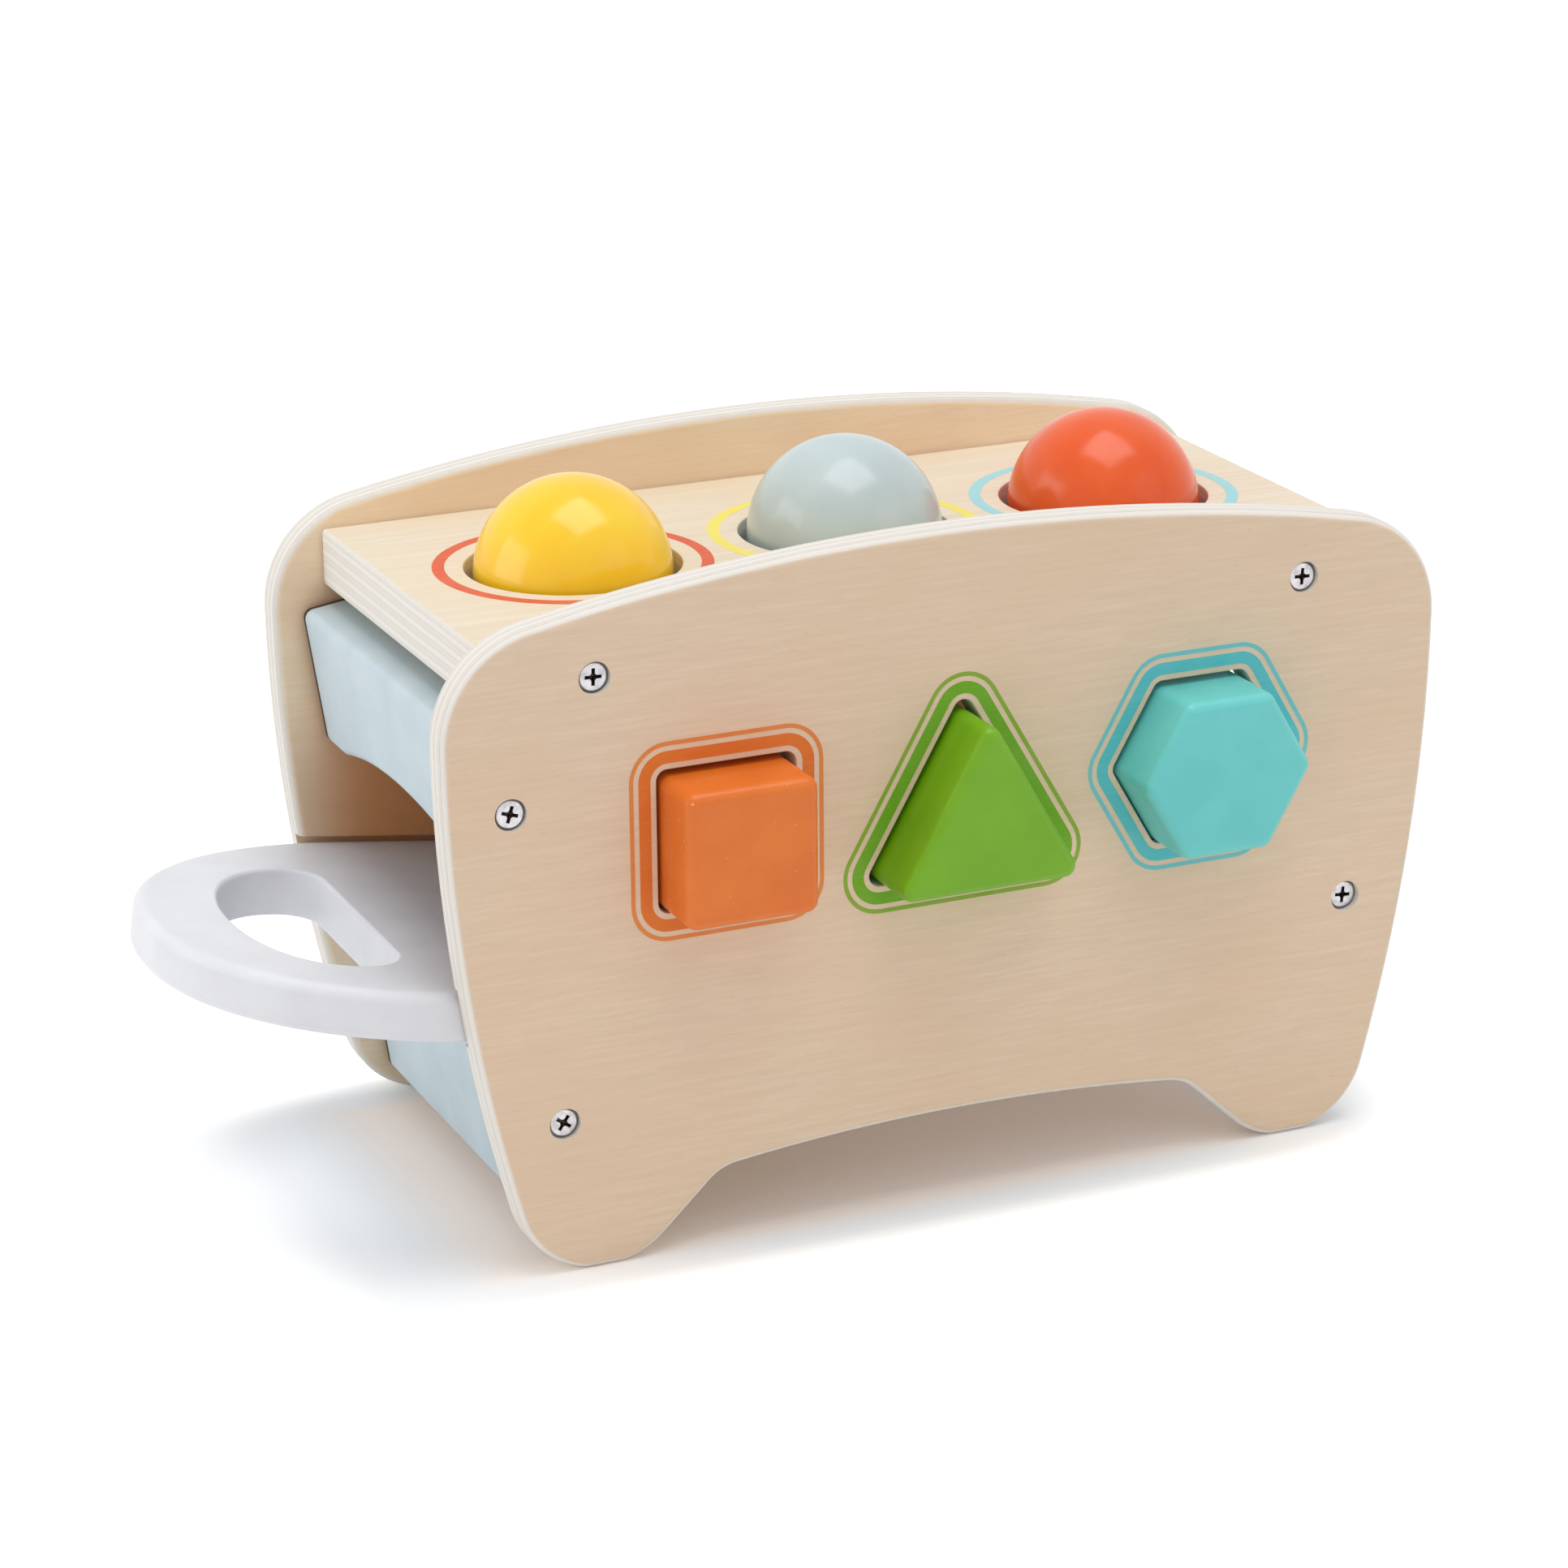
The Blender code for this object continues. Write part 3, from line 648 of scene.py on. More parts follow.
@dataclass(frozen=True, kw_only=True)
class Finish:
    """A finish that is made once and shared by all pieces that carry it."""

    name: str
    slope: float = 0.0

    def material(self) -> bpy.types.Material:
        """Give the material, made at its first use.

        Returns:
            The material.
        """
        if self not in MIXED:
            made = bpy.data.materials.new(self.name)
            made.use_nodes = True
            tree = made.node_tree
            tree.nodes.clear()
            add_node(tree, "OutputMaterial", [self.surface(tree)])
            MIXED[self] = made
        return MIXED[self]

    def place(self, tree: bpy.types.NodeTree) -> bpy.types.NodeSocket:
        """Give object coordinates, turned level where the piece slopes.

        Args:
            tree: The material's tree.

        Returns:
            The coordinates.
        """
        place = add_node(tree, "TexCoord", output="Object")
        if self.slope:
            place = add_node(tree, "Mapping", {"Vector": place, "Rotation": (0, -self.slope, 0)})
        return place

    def surface(self, tree: bpy.types.NodeTree) -> bpy.types.NodeSocket:
        """Wire the finish up and give its shader; each kind of finish has its own way."""
        raise NotImplementedError


class PlyStack(Enum):
    """Which way a board's plies are stacked."""

    ACROSS_BENCH = "Y"
    UPWARDS = "Z"


@dataclass(frozen=True, kw_only=True)
class LacqueredPlywood(Finish):
    """Birch plywood, rotary-cut, sanded and sprayed with clear satin lacquer.

    The veneer gives a warm tan with short faint streaks along the grain and broad pinkish clouds.
    Edges show near-white plies, every second one a little greyer, with fine glue lines between.
    Deep inside the bench the inner faces are painted a darker, warmer amber: painted shade and
    painted warm bounce light from the wood.
    """

    stack: PlyStack
    outer_face: float
    ply: float
    face: tuple[str, str, str]
    cloud: str
    fleck: str
    streak: Pattern
    plies: tuple[str, str, str] = ("EFE9E0", "E2DCD2", "D1C9BC")
    glue_share: float = 0.07
    # Colour painted deep inside the bench: painted shade and warm bounce light on the inner faces
    depths: str = ""
    clouds: Pattern = Pattern((60, 40, 34))
    cloud_fade: Fade = (0.42, 0.72, 0.0, 0.5)
    flecks: Pattern = Pattern((3.2, 2.4, 0.34), detail=1)
    fleck_fade: Fade = (0.66, 0.78, 0.0, 0.14)
    fibres: Pattern = Pattern((2.6, 2.6, 2.6), detail=3)
    fibre_fade: Fade = (0.35, 0.75, 0.0, 0.3)
    wander: Pattern = Pattern((26, 26, 26), detail=1)
    wander_reach: tuple[float, float] = (-0.05, 0.05)
    sheen: Pattern = Pattern((9, 4, 1.2), detail=3)
    roughness: tuple[float, float] = (0.50, 0.62)
    relief: float = 0.00004
    ior: float = 1.45
    specular: float = 0.35
    face_fade: Fade = (0.80, 0.985, 0.0, 1.0)
    # Where the painted inner shade fades out: towards the outer faces, the ends, the top and the
    # feet
    inner_fade: Fade = (-0.02, -0.04, 0.0, 1.0)
    end_fade: Fade = (0.134, 0.108, 0.0, 1.0)
    top_fade: Fade = (0.150, 0.130, 0.0, 1.0)
    foot_fade: Fade = (0.045, 0.070, 0.0, 1.0)

    def surface(self, tree: bpy.types.NodeTree) -> bpy.types.NodeSocket:
        """Wire veneer and plies, mixed by which way the surface faces.

        Args:
            tree: The material's tree.

        Returns:
            The shader.
        """
        place = self.place(tree)
        streak = self.streak.draw(tree, place)
        veneer = add_node(tree, "ValToRGB", [streak], stops=list(zip(THREE_STOPS, self.face)))
        cloudy = self.clouds.draw(tree, place)
        cloudy = add_node(tree, "MapRange", [cloudy, *self.cloud_fade], **SOFTLY)
        veneer = add_node(tree, "Mix", [cloudy, veneer, linear(self.cloud)], **COLOURS)
        flecked = self.flecks.draw(tree, place)
        flecked = add_node(tree, "MapRange", [flecked, *self.fleck_fade], **SOFTLY)
        veneer = add_node(tree, "Mix", [flecked, veneer, linear(self.fleck)], **COLOURS)
        # Painted shade: inner faces turn darker and warmer deep inside the bench
        if self.depths:
            deep = self.inside(tree, place)
            veneer = add_node(tree, "Mix", [deep, veneer, linear(self.depths)], **COLOURS)
        normal = add_node(tree, "NewGeometry", output="Normal")
        facing = add_node(tree, "SeparateXYZ", [normal], output=self.stack.value)
        facing = add_node(tree, "Math", [facing], operation="ABSOLUTE")
        flat = add_node(tree, "MapRange", [facing, *self.face_fade], **SOFTLY)
        colour = add_node(tree, "Mix", [flat, self.edge(tree, place), veneer], **COLOURS)
        sheen = self.sheen.draw(tree, place)
        values = {
            "Base Color": colour,
            "Roughness": add_node(tree, "MapRange", [sheen, *NOISE_SPAN, *self.roughness]),
            "Normal": add_node(tree, "Bump", {"Height": streak, "Distance": self.relief}),
            "IOR": self.ior,
            "Specular IOR Level": self.specular,
        }
        return add_node(tree, "BsdfPrincipled", values)

    def inside(self, tree: bpy.types.NodeTree, place: bpy.types.NodeSocket) -> bpy.types.NodeSocket:
        """Measure how deep inside the bench a spot of an inner face is, which places the painted
        shade.

        Args:
            tree: The material's tree.
            place: Object coordinates.

        Returns:
            A share from 0 at the ends, feet, top and outer faces to 1 in the middle.
        """
        normal = add_node(tree, "NewGeometry", output="Normal")
        outward = add_node(tree, "SeparateXYZ", [normal], output="Y")
        across = add_node(tree, "SeparateXYZ", [place], output="Y")
        inner = add_node(tree, "Math", [outward, across], operation="MULTIPLY")
        share = add_node(tree, "MapRange", [inner, *self.inner_fade])
        along = add_node(tree, "SeparateXYZ", [place], output="X")
        along = add_node(tree, "Math", [along, BenchAxes.from_model().x], operation="SUBTRACT")
        along = add_node(tree, "Math", [along], operation="ABSOLUTE")
        height = add_node(tree, "SeparateXYZ", [place], output="Z")
        spots = ((along, self.end_fade), (height, self.top_fade), (height, self.foot_fade))
        for spot, fade in spots:
            near = add_node(tree, "MapRange", [spot, *fade], **SOFTLY)
            share = add_node(tree, "Math", [share, near], operation="MULTIPLY")
        return share

    def edge(self, tree: bpy.types.NodeTree, place: bpy.types.NodeSocket) -> bpy.types.NodeSocket:
        """Draw the plies seen at an edge: light, greyer, light, with a glue line after each.

        Args:
            tree: The material's tree.
            place: Object coordinates.

        Returns:
            The colour.
        """
        light, grey, glue = self.plies
        depth = add_node(tree, "SeparateXYZ", [place], output=self.stack.value)
        depth = add_node(tree, "Math", [depth, self.outer_face], operation="SUBTRACT")
        depth = add_node(tree, "Math", [depth, 2 * self.ply], operation="DIVIDE")
        wander = self.wander.draw(tree, place)
        wander = add_node(tree, "MapRange", [wander, *NOISE_SPAN, *self.wander_reach])
        pair = add_node(tree, "Math", [depth, wander], operation="ADD")
        pair = add_node(tree, "Math", [pair], operation="FRACT")
        glued, half = self.glue_share, 0.5
        stops = [
            (0.0, glue), (1.0, glue), (glued, light), (half - glued, light), (half, glue),
            (half + glued, grey), (1 - glued, grey),
        ]
        plies = add_node(tree, "ValToRGB", [pair], stops=stops)
        fibres = add_node(tree, "MapRange", [self.fibres.draw(tree, place), *self.fibre_fade])
        return add_node(tree, "Mix", [fibres, plies, linear(light)], **COLOURS)


@dataclass(frozen=True, kw_only=True)
class WoodPaint(Finish):
    """Sprayed toy paint on wood: an even coat that pools a little, over grain that just shows.

    It gives the eye a barely mottled colour, a soft gloss, fine lengthwise ridges from the wood
    below, and on some pieces a few pinhead flecks where dust was caught. On a cross board a thin
    dark band is painted across each end: painted shade of the crevice where it meets a side panel.
    """

    deep: str
    colour: str
    light: str
    gloss: float = 0.42
    ior: float = 1.5
    specular: float = 0.28
    fleck: float = 0.0
    # Painted crevice shade at a cross board's ends: the board's middle along Y, where the shade
    # starts, its soft edge and its colour
    middle: float = 0.0
    painted_to: float = 0.0
    feather: float = 0.00008
    bare: str = "3C342D"
    stops: tuple[float, float, float] = (0.34, 0.5, 0.68)
    mottle: Pattern = Pattern((14, 14, 14), detail=3)
    dust: Pattern = Pattern((0.9, 0.9, 0.9), detail=0)
    dust_span: tuple[float, float] = (0.82, 0.84)
    sheen: Pattern = Pattern((5, 5, 5), detail=3)
    sheen_reach: tuple[float, float] = (-0.04, 0.05)
    peel: Pattern = Pattern((1.4, 1.4, 1.4), detail=1)
    peel_relief: float = 0.00001
    relief: float = 0.00002
    grain: Pattern = Pattern((22, 1.6, 1.6), detail=3)

    def surface(self, tree: bpy.types.NodeTree) -> bpy.types.NodeSocket:
        """Wire the mottled coat, its flecks and the grain below.

        Args:
            tree: The material's tree.

        Returns:
            The shader.
        """
        place = self.place(tree)
        stops = list(zip(self.stops, (self.deep, self.colour, self.light)))
        paint = add_node(tree, "ValToRGB", [self.mottle.draw(tree, place)], stops=stops)
        if self.fleck:
            dust = self.dust.draw(tree, place)
            dust = add_node(tree, "MapRange", [dust, *self.dust_span, 0, self.fleck])
            paint = add_node(tree, "Mix", [dust, paint, linear("FFFFFF")], **COLOURS)
        # Painted shade: a dark band across each end of a cross board, for the crevice where it
        # meets a side panel
        if self.painted_to:
            across = add_node(tree, "SeparateXYZ", [place], output="Y")
            across = add_node(tree, "Math", [across, self.middle], operation="SUBTRACT")
            across = add_node(tree, "Math", [across], operation="ABSOLUTE")
            edge = self.painted_to + self.feather
            crevice = add_node(tree, "MapRange", [across, self.painted_to, edge, 0, 1])
            paint = add_node(tree, "Mix", [crevice, paint, linear(self.bare)], **COLOURS)
        sheen = self.sheen.draw(tree, place)
        gloss = [self.gloss + reach for reach in self.sheen_reach]
        peel = self.peel.draw(tree, place)
        peel = add_node(tree, "Bump", {"Height": peel, "Distance": self.peel_relief})
        fibre = self.grain.draw(tree, place)
        bump = {"Height": fibre, "Distance": self.relief, "Normal": peel}
        values = {
            "Base Color": paint,
            "Roughness": add_node(tree, "MapRange", [sheen, *NOISE_SPAN, *gloss]),
            "Normal": add_node(tree, "Bump", bump),
            "IOR": self.ior,
            "Specular IOR Level": self.specular,
        }
        return add_node(tree, "BsdfPrincipled", values)


@dataclass(frozen=True, kw_only=True)
class PadPrint(Finish):
    """Pad-printed ink on wood: flat matt colour that thins along the open grain."""

    colour: str
    thin: str
    grain: Pattern = Pattern((9, 9, 0.45), detail=4, roughness=0.6)
    thin_fade: Fade = (0.5, 0.8, 0.0, 0.4)
    clouds: Pattern = Pattern((7, 7, 7))
    cloud_fade: Fade = (0.35, 0.7, 0.0, 0.18)
    roughness: tuple[float, float] = (0.55, 0.68)
    relief: float = 0.00004
    ior: float = 1.48
    specular: float = 0.3

    def surface(self, tree: bpy.types.NodeTree) -> bpy.types.NodeSocket:
        """Wire the ink with its thin streaks.

        Args:
            tree: The material's tree.

        Returns:
            The shader.
        """
        place = self.place(tree)
        streak = self.grain.draw(tree, place)
        thin = add_node(tree, "MapRange", [streak, *self.thin_fade], **SOFTLY)
        cloud = add_node(tree, "MapRange", [self.clouds.draw(tree, place), *self.cloud_fade])
        ink = add_node(tree, "Mix", [cloud, linear(self.colour), linear(self.thin)], **COLOURS)
        values = {
            "Base Color": add_node(tree, "Mix", [thin, ink, linear(self.thin)], **COLOURS),
            "Roughness": add_node(tree, "MapRange", [streak, *NOISE_SPAN, *self.roughness]),
            "Normal": add_node(tree, "Bump", {"Height": streak, "Distance": self.relief}),
            "IOR": self.ior,
            "Specular IOR Level": self.specular,
        }
        return add_node(tree, "BsdfPrincipled", values)


@dataclass(frozen=True, kw_only=True)
class Patterned(Finish):
    """A finish whose colour and gloss follow one pattern; its relief may follow a finer one."""

    colours: tuple[str, ...]
    stops: tuple[float, ...]
    pattern: Pattern
    finer: Pattern | None = None
    roughness: tuple[float, float]
    relief: float
    others: tuple[tuple[str, float], ...]

    def surface(self, tree: bpy.types.NodeTree) -> bpy.types.NodeSocket:
        """Wire the pattern into colour, gloss and relief.

        Args:
            tree: The material's tree.

        Returns:
            The shader.
        """
        place = self.place(tree)
        value = self.pattern.draw(tree, place)
        height = self.finer.draw(tree, place) if self.finer else value
        stops = list(zip(self.stops, self.colours))
        values = {
            "Base Color": add_node(tree, "ValToRGB", [value], stops=stops),
            "Roughness": add_node(tree, "MapRange", [value, *NOISE_SPAN, *self.roughness]),
            "Normal": add_node(tree, "Bump", {"Height": height, "Distance": self.relief}),
            **dict(self.others),
        }
        return add_node(tree, "BsdfPrincipled", values)


@dataclass(frozen=True, kw_only=True)
class BrushedAluminium(Patterned):
    """Rolled aluminium, brushed along the bar: fine bright lines and a long soft highlight.

    The brush lines are 0.25 mm apart, coarser than real so that they show.
    """

    colours: tuple[str, ...] = ("BFC3C8", "D6D8DB")
    stops: tuple[float, ...] = NOISE_SPAN
    pattern: Pattern = Pattern((0.25, 30, 3), detail=3)
    roughness: tuple[float, float] = (0.28, 0.40)
    relief: float = 0.00001
    others: tuple[tuple[str, float], ...] = (("Metallic", 1.0),)


@dataclass(frozen=True, kw_only=True)
class ZincPlating(Patterned):
    """Zinc-plated steel, barrel-plated: a cool light grey with a faint cloudy bloom and fine pits.

    The pits are 0.3 mm wide, coarser than real so that they show.
    """

    colours: tuple[str, ...] = ("AEABAD", "C4C1C3", "D4D1D3")
    stops: tuple[float, ...] = (0.32, 0.5, 0.66)
    pattern: Pattern = Pattern((1.6, 1.6, 1.6), detail=3)
    finer: Pattern = Pattern((0.3, 0.3, 0.3))
    roughness: tuple[float, float] = (0.30, 0.44)
    relief: float = 0.00001
    others: tuple[tuple[str, float], ...] = (("Metallic", 1.0),)


@dataclass(frozen=True, kw_only=True)
class MouldedRubber(Patterned):
    """Moulded black rubber: a dark matt surface with a fine spark-eroded grain.

    The grain is 0.35 mm wide, coarser than real so that it shows.
    """

    colours: tuple[str, ...] = ("242424", "303030")
    stops: tuple[float, ...] = NOISE_SPAN
    pattern: Pattern = Pattern((0.35, 0.35, 0.35))
    roughness: tuple[float, float] = (0.62, 0.78)
    relief: float = 0.00003
    others: tuple[tuple[str, float], ...] = (("IOR", 1.52),)


@dataclass(frozen=True, kw_only=True)
class WoolFelt(Patterned):
    """Pressed wool felt: a soft grey with lighter loose fibres and no gloss.

    The fibres are 0.2 mm wide, coarser than real so that they show.
    """

    colours: tuple[str, ...] = ("747470", "8C8C88", "A6A6A0")
    stops: tuple[float, ...] = THREE_STOPS
    pattern: Pattern = Pattern((1.3, 0.2, 0.4), detail=4, roughness=0.65, distortion=1.5)
    roughness: tuple[float, float] = (0.86, 0.97)
    relief: float = 0.00015
    others: tuple[tuple[str, float], ...] = (("Sheen Weight", 0.3), ("IOR", 1.45))


# The bench's sub-assemblies


class Side(Enum):
    """The two side panels."""

    FRONT = -1
    BACK = 1

    def word(self) -> str:
        """The side's name in a piece's name."""
        return self.name.lower()


@dataclass(frozen=True)
class BenchAxes:
    """Where the bench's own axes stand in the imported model."""

    x: float
    y: float

    @classmethod
    def from_model(cls) -> "BenchAxes":
        """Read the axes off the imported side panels.

        Returns:
            The axes, midway between the panels.
        """
        front_low, front_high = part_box("front_panel")
        _, back_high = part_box("back_panel")
        return cls((front_low.x + front_high.x) / 2, (front_low.y + back_high.y) / 2)

    def matrix(self) -> Matrix:
        """The move from the bench's axes to the model's."""
        return Matrix.Translation((self.x, self.y, 0))


@dataclass(frozen=True)
class TrayAxes:
    """The sloping tray's own axes: its mark on the top face, and its slope."""

    x: float = -0.129
    z: float = 0.0743
    slope: float = radians(8)

    def matrix(self, bench: BenchAxes) -> Matrix:
        """The move and turn from the tray's axes to the model's."""
        mark = Matrix.Translation((self.x, 0, self.z))
        return bench.matrix() @ mark @ Matrix.Rotation(self.slope, 4, "Y")


@dataclass(frozen=True)
class Shape:
    """One shaped hole: its outline, place, block and inks."""

    word: str
    sides: int
    first_normal: float
    inradius: float
    x: float
    z: float
    slot: Slot
    paint: WoodPaint
    band_ink: PadPrint
    line_ink: PadPrint

    def arcs(self, growth: float, corner: float, steps: int) -> list[Arc]:
        """Lay out the rounded outline of the hole, grown or shrunk.

        Args:
            growth: How much larger than the hole its inradius is.
            corner: Radius of its corners.
            steps: Steps round each corner.

        Returns:
            One arc for each corner, anticlockwise.
        """
        half = pi / self.sides
        reach = (self.inradius + growth - corner) / cos(half)
        made = []
        for side in range(self.sides):
            normal = self.first_normal + 2 * half * side
            centre = (self.x + reach * cos(normal + half), self.z + reach * sin(normal + half))
            made.append(Arc(centre, corner, normal, normal + 2 * half, steps))
        return made


ALONG_BLOCK = Pattern((1.1, 24, 1.1), detail=3)

SHAPES = (
    Shape(
        word="square", sides=4, first_normal=0.0, inradius=0.0182, x=-0.0622, z=0.1076,
        slot=Slot.ORANGE,
        paint=WoodPaint(
            name="orange_sprayed_paint", deep="E67323", colour="E97726", light="EC7D2B",
            gloss=0.32, specular=0.4, fleck=0.3, relief=0.00004, grain=ALONG_BLOCK,
        ),
        band_ink=PadPrint(name="orange_pad_print", colour="E5782C", thin="E99A54"),
        line_ink=PadPrint(name="light_orange_pad_print", colour="E68A46", thin="E9A874"),
    ),
    Shape(
        word="triangle", sides=3, first_normal=pi / 6, inradius=0.0159, x=0.0008, z=0.1033,
        slot=Slot.GREEN,
        paint=WoodPaint(
            name="green_sprayed_paint", deep="70AC08", colour="74AF0A", light="78B30E",
            gloss=0.32, specular=0.4, relief=0.00004, grain=ALONG_BLOCK,
        ),
        band_ink=PadPrint(name="green_pad_print", colour="70AC1C", thin="98C05A"),
        line_ink=PadPrint(name="olive_pad_print", colour="8AAC32", thin="ACC072"),
    ),
    Shape(
        word="hexagon", sides=6, first_normal=pi / 6, inradius=0.0214, x=0.0666, z=0.1080,
        slot=Slot.TEAL,
        paint=WoodPaint(
            name="teal_sprayed_paint", deep="6ACFCA", colour="6ED2CE", light="72D5D1",
            gloss=0.32, specular=0.4, relief=0.00004, grain=ALONG_BLOCK,
        ),
        band_ink=PadPrint(name="teal_pad_print", colour="5AC4CA", thin="94D4D2"),
        line_ink=PadPrint(name="light_teal_pad_print", colour="72C8CC", thin="A2D4D0"),
    ),
)


@dataclass(frozen=True)
class ScrewSpot:
    """A screw's place, how deep it is driven, and its cross's turn in degrees on each side."""

    word: str
    x: float
    z: float
    sink: float
    front_turn: float
    back_turn: float

    def turn(self, side: Side) -> float:
        """The cross's turn on one side."""
        return self.front_turn if side is Side.FRONT else self.back_turn


SCREW_SPOTS = (
    ScrewSpot("top_left", x=-0.0955, z=0.1511, sink=0.0010, front_turn=-2, back_turn=12),
    ScrewSpot("top_right", x=0.0955, z=0.1511, sink=0.0010, front_turn=-3, back_turn=50),
    ScrewSpot("left_upper", x=-0.1174, z=0.1203, sink=0.0007, front_turn=-17, back_turn=70),
    ScrewSpot("left_lower", x=-0.1058, z=0.0394, sink=0.0012, front_turn=-35, back_turn=38),
    ScrewSpot("right", x=0.1104, z=0.0636, sink=0.0013, front_turn=-5, back_turn=25),
)

# Face colours of the panels. The back panel is the same plywood painted lighter and yellower:
# painted bounce light from the top board on its inner face
VENEERS_BACK_PAINTED_LIGHTER = {
    Side.FRONT: ("E5CBAE", "E9CFB2", "EED5B9"),
    Side.BACK: ("F5DCB8", "F7E0BF", "FAE6C9"),
}


@dataclass
class SidePanels:
    """Two plywood sides: arched top, two feet, tray groove, screw holes, shaped holes in front."""

    bench: BenchAxes
    tray: TrayAxes
    half_width: float = 0.1343
    height: float = 0.1759
    inner: float = 0.058
    thickness: float = 0.0095
    arris: float = 0.0022
    top_radius: float = 0.575
    shoulder_radius: float = 0.028
    side_radius: float = 0.455
    foot_radius: float = 0.023
    foot_flat_half: float = 0.005
    flank_angle: float = radians(43)
    arch_height: float = 0.024
    arch_radius: float = 0.520
    arch_fillet: float = 0.012
    veneers: dict[Side, tuple[str, str, str]] = field(default_factory=VENEERS_BACK_PAINTED_LIGHTER.copy)
    ply: float = 0.00136
    groove_depth: float = 0.0035
    groove_start: float = -0.060
    groove_end: float = 0.2437
    groove_low: float = -0.0129
    groove_high: float = 0.0017
    groove_mouth_round: float = 0.0009
    groove_slack: float = 0.0004
    groove_run: float = 0.004
    hole_corner: float = 0.0028
    hole_rim: float = 0.0004
    hole_reach_share: float = 2.1
    screw_rim: float = 0.00405
    screw_wall: float = 0.0026
    screw_shank: float = 0.00205
    screw_depth: float = 0.034
    arris_facets: int = 5
    rim_facets: int = 2
    small_arc_steps: int = 8
    arch_steps: int = 12
    long_arc_steps: int = 14
    round_steps: int = 16
    drill_steps: int = 40

    def build(self) -> None:
        """Model one blank, copy it, and cut and dress both panels."""
        blank = self.blank()
        for side in Side:
            name = side.word() + "_panel"
            outer = side.value * self.outer()
            move = Matrix.Translation((0, outer - side.value * self.thickness / 2, 0))
            panel = copy_piece(blank, name + "_wood", move)
            levels = (outer, side.value * self.inner)
            carve(panel, self.groove())
            if side is Side.FRONT:
                self.cut_shapes(panel, levels)
            self.drill_screw_holes(panel, side)
            self.ease_groove_mouth(panel, side.value * self.inner)
            smooth(panel)
            seat(panel, self.bench.matrix())
            dress(panel, self.finish(side, self.bench.y + outer), "bench", [name])
        discard(blank)

    def outer(self) -> float:
        """How far the outer faces are from the middle."""
        return self.inner + self.thickness

    def finish(self, side: Side, outer_face: float) -> LacqueredPlywood:
        """Describe the tan plywood, its plies counted from the outer face.

        Args:
            side: Which panel it is for.
            outer_face: Where that face is along Y.

        Returns:
            The finish.
        """
        return LacqueredPlywood(
            name=side.word() + "_lacquered_birch_plywood",
            stack=PlyStack.ACROSS_BENCH,
            outer_face=outer_face,
            ply=self.ply,
            face=self.veneers[side],
            # Painted warm shade on the inner faces, deep inside the bench
            depths="F2AE76",
            cloud="E8C9AA",
            fleck="B4946F",
            streak=Pattern((16, 8, 0.9), detail=5, roughness=0.6, distortion=0.35),
        )

    def right_half(self) -> list[Arc]:
        """Lay out the right half, from the middle of the underside to the top of the arch.

        Returns:
            The arcs in order.
        """
        arch_centre = (0.0, self.arch_height - self.arch_radius)
        top_centre = (0.0, self.height - self.top_radius)
        shoulder_x = self.half_width - self.shoulder_radius
        reach = self.top_radius - self.shoulder_radius
        shoulder_angle = atan2(sqrt(reach ** 2 - shoulder_x ** 2), shoulder_x)
        shoulder = (shoulder_x, top_centre[1] + reach * sin(shoulder_angle))
        side_centre = (self.half_width - self.side_radius, shoulder[1])
        foot_z = sqrt(self.foot_radius ** 2 - self.foot_flat_half ** 2)
        foot_angle = asin((foot_z - side_centre[1]) / (self.side_radius - self.foot_radius))
        foot = (side_centre[0] + (self.side_radius - self.foot_radius) * cos(foot_angle), foot_z)
        flat_angle = asin(self.foot_flat_half / self.foot_radius)
        flank = DOWN - self.flank_angle
        fillet = self.fillet_centre(foot, flank, arch_centre)
        meet = atan2(fillet[1] - arch_centre[1], fillet[0])
        return [
            Arc(arch_centre, self.arch_radius, pi / 2, meet, self.arch_steps),
            Arc(fillet, self.arch_fillet, meet, flank - pi, self.small_arc_steps),
            Arc(foot, self.foot_radius, flank, DOWN - flat_angle, self.small_arc_steps),
            Arc(foot, self.foot_radius, DOWN + flat_angle, 2 * pi + foot_angle, self.round_steps),
            Arc(side_centre, self.side_radius, foot_angle, 0.0, self.long_arc_steps),
            Arc(shoulder, self.shoulder_radius, 0.0, shoulder_angle, self.round_steps),
            Arc(top_centre, self.top_radius, shoulder_angle, pi / 2, self.long_arc_steps),
        ]

    def fillet_centre(self, foot: Point, flank: float, arch_centre: Point) -> Point:
        """Find the centre of the fillet between the foot's straight flank and the arch.

        Args:
            foot: Centre of the foot's round.
            flank: Direction of the flank's normal.
            arch_centre: Centre of the arch under the panel.

        Returns:
            The fillet's centre.
        """
        normal = Vector((cos(flank), sin(flank)))
        along = Vector((normal.y, -normal.x))
        start = Vector(foot) + normal * (self.foot_radius + self.arch_fillet) - Vector(arch_centre)
        reach = self.arch_radius - self.arch_fillet
        middle = start.dot(along)
        travel = -middle + sqrt(middle ** 2 - start.length_squared + reach ** 2)
        centre = start + along * travel + Vector(arch_centre)
        return (centre.x, centre.y)

    def blank(self) -> bpy.types.Object:
        """Give the panel's outline its thickness and round arrises.

        Returns:
            The blank, midway about the bench's X and Z plane.
        """
        right = self.right_half()
        outline = right + [arc.mirrored() for arc in reversed(right)]
        half = self.thickness / 2
        blank = draw_arcs("panel_blank", DrawingPlane.FRONT, half, outline).solid(self.thickness)
        round_edges(blank, at_level(1, half, -half), self.arris, self.arris_facets)
        return blank

    def groove(self) -> bpy.types.Object:
        """Make the slab that cuts the tray's groove.

        Returns:
            The slab, in the bench's axes.
        """
        depth = self.inner + self.groove_depth
        low = Vector((self.groove_start, -depth, self.groove_low))
        high = Vector((self.groove_end, depth, self.groove_high))
        slab = block_out("groove_slab", low, high)
        seat(slab, self.tray.matrix(BenchAxes(0.0, 0.0)))
        return slab

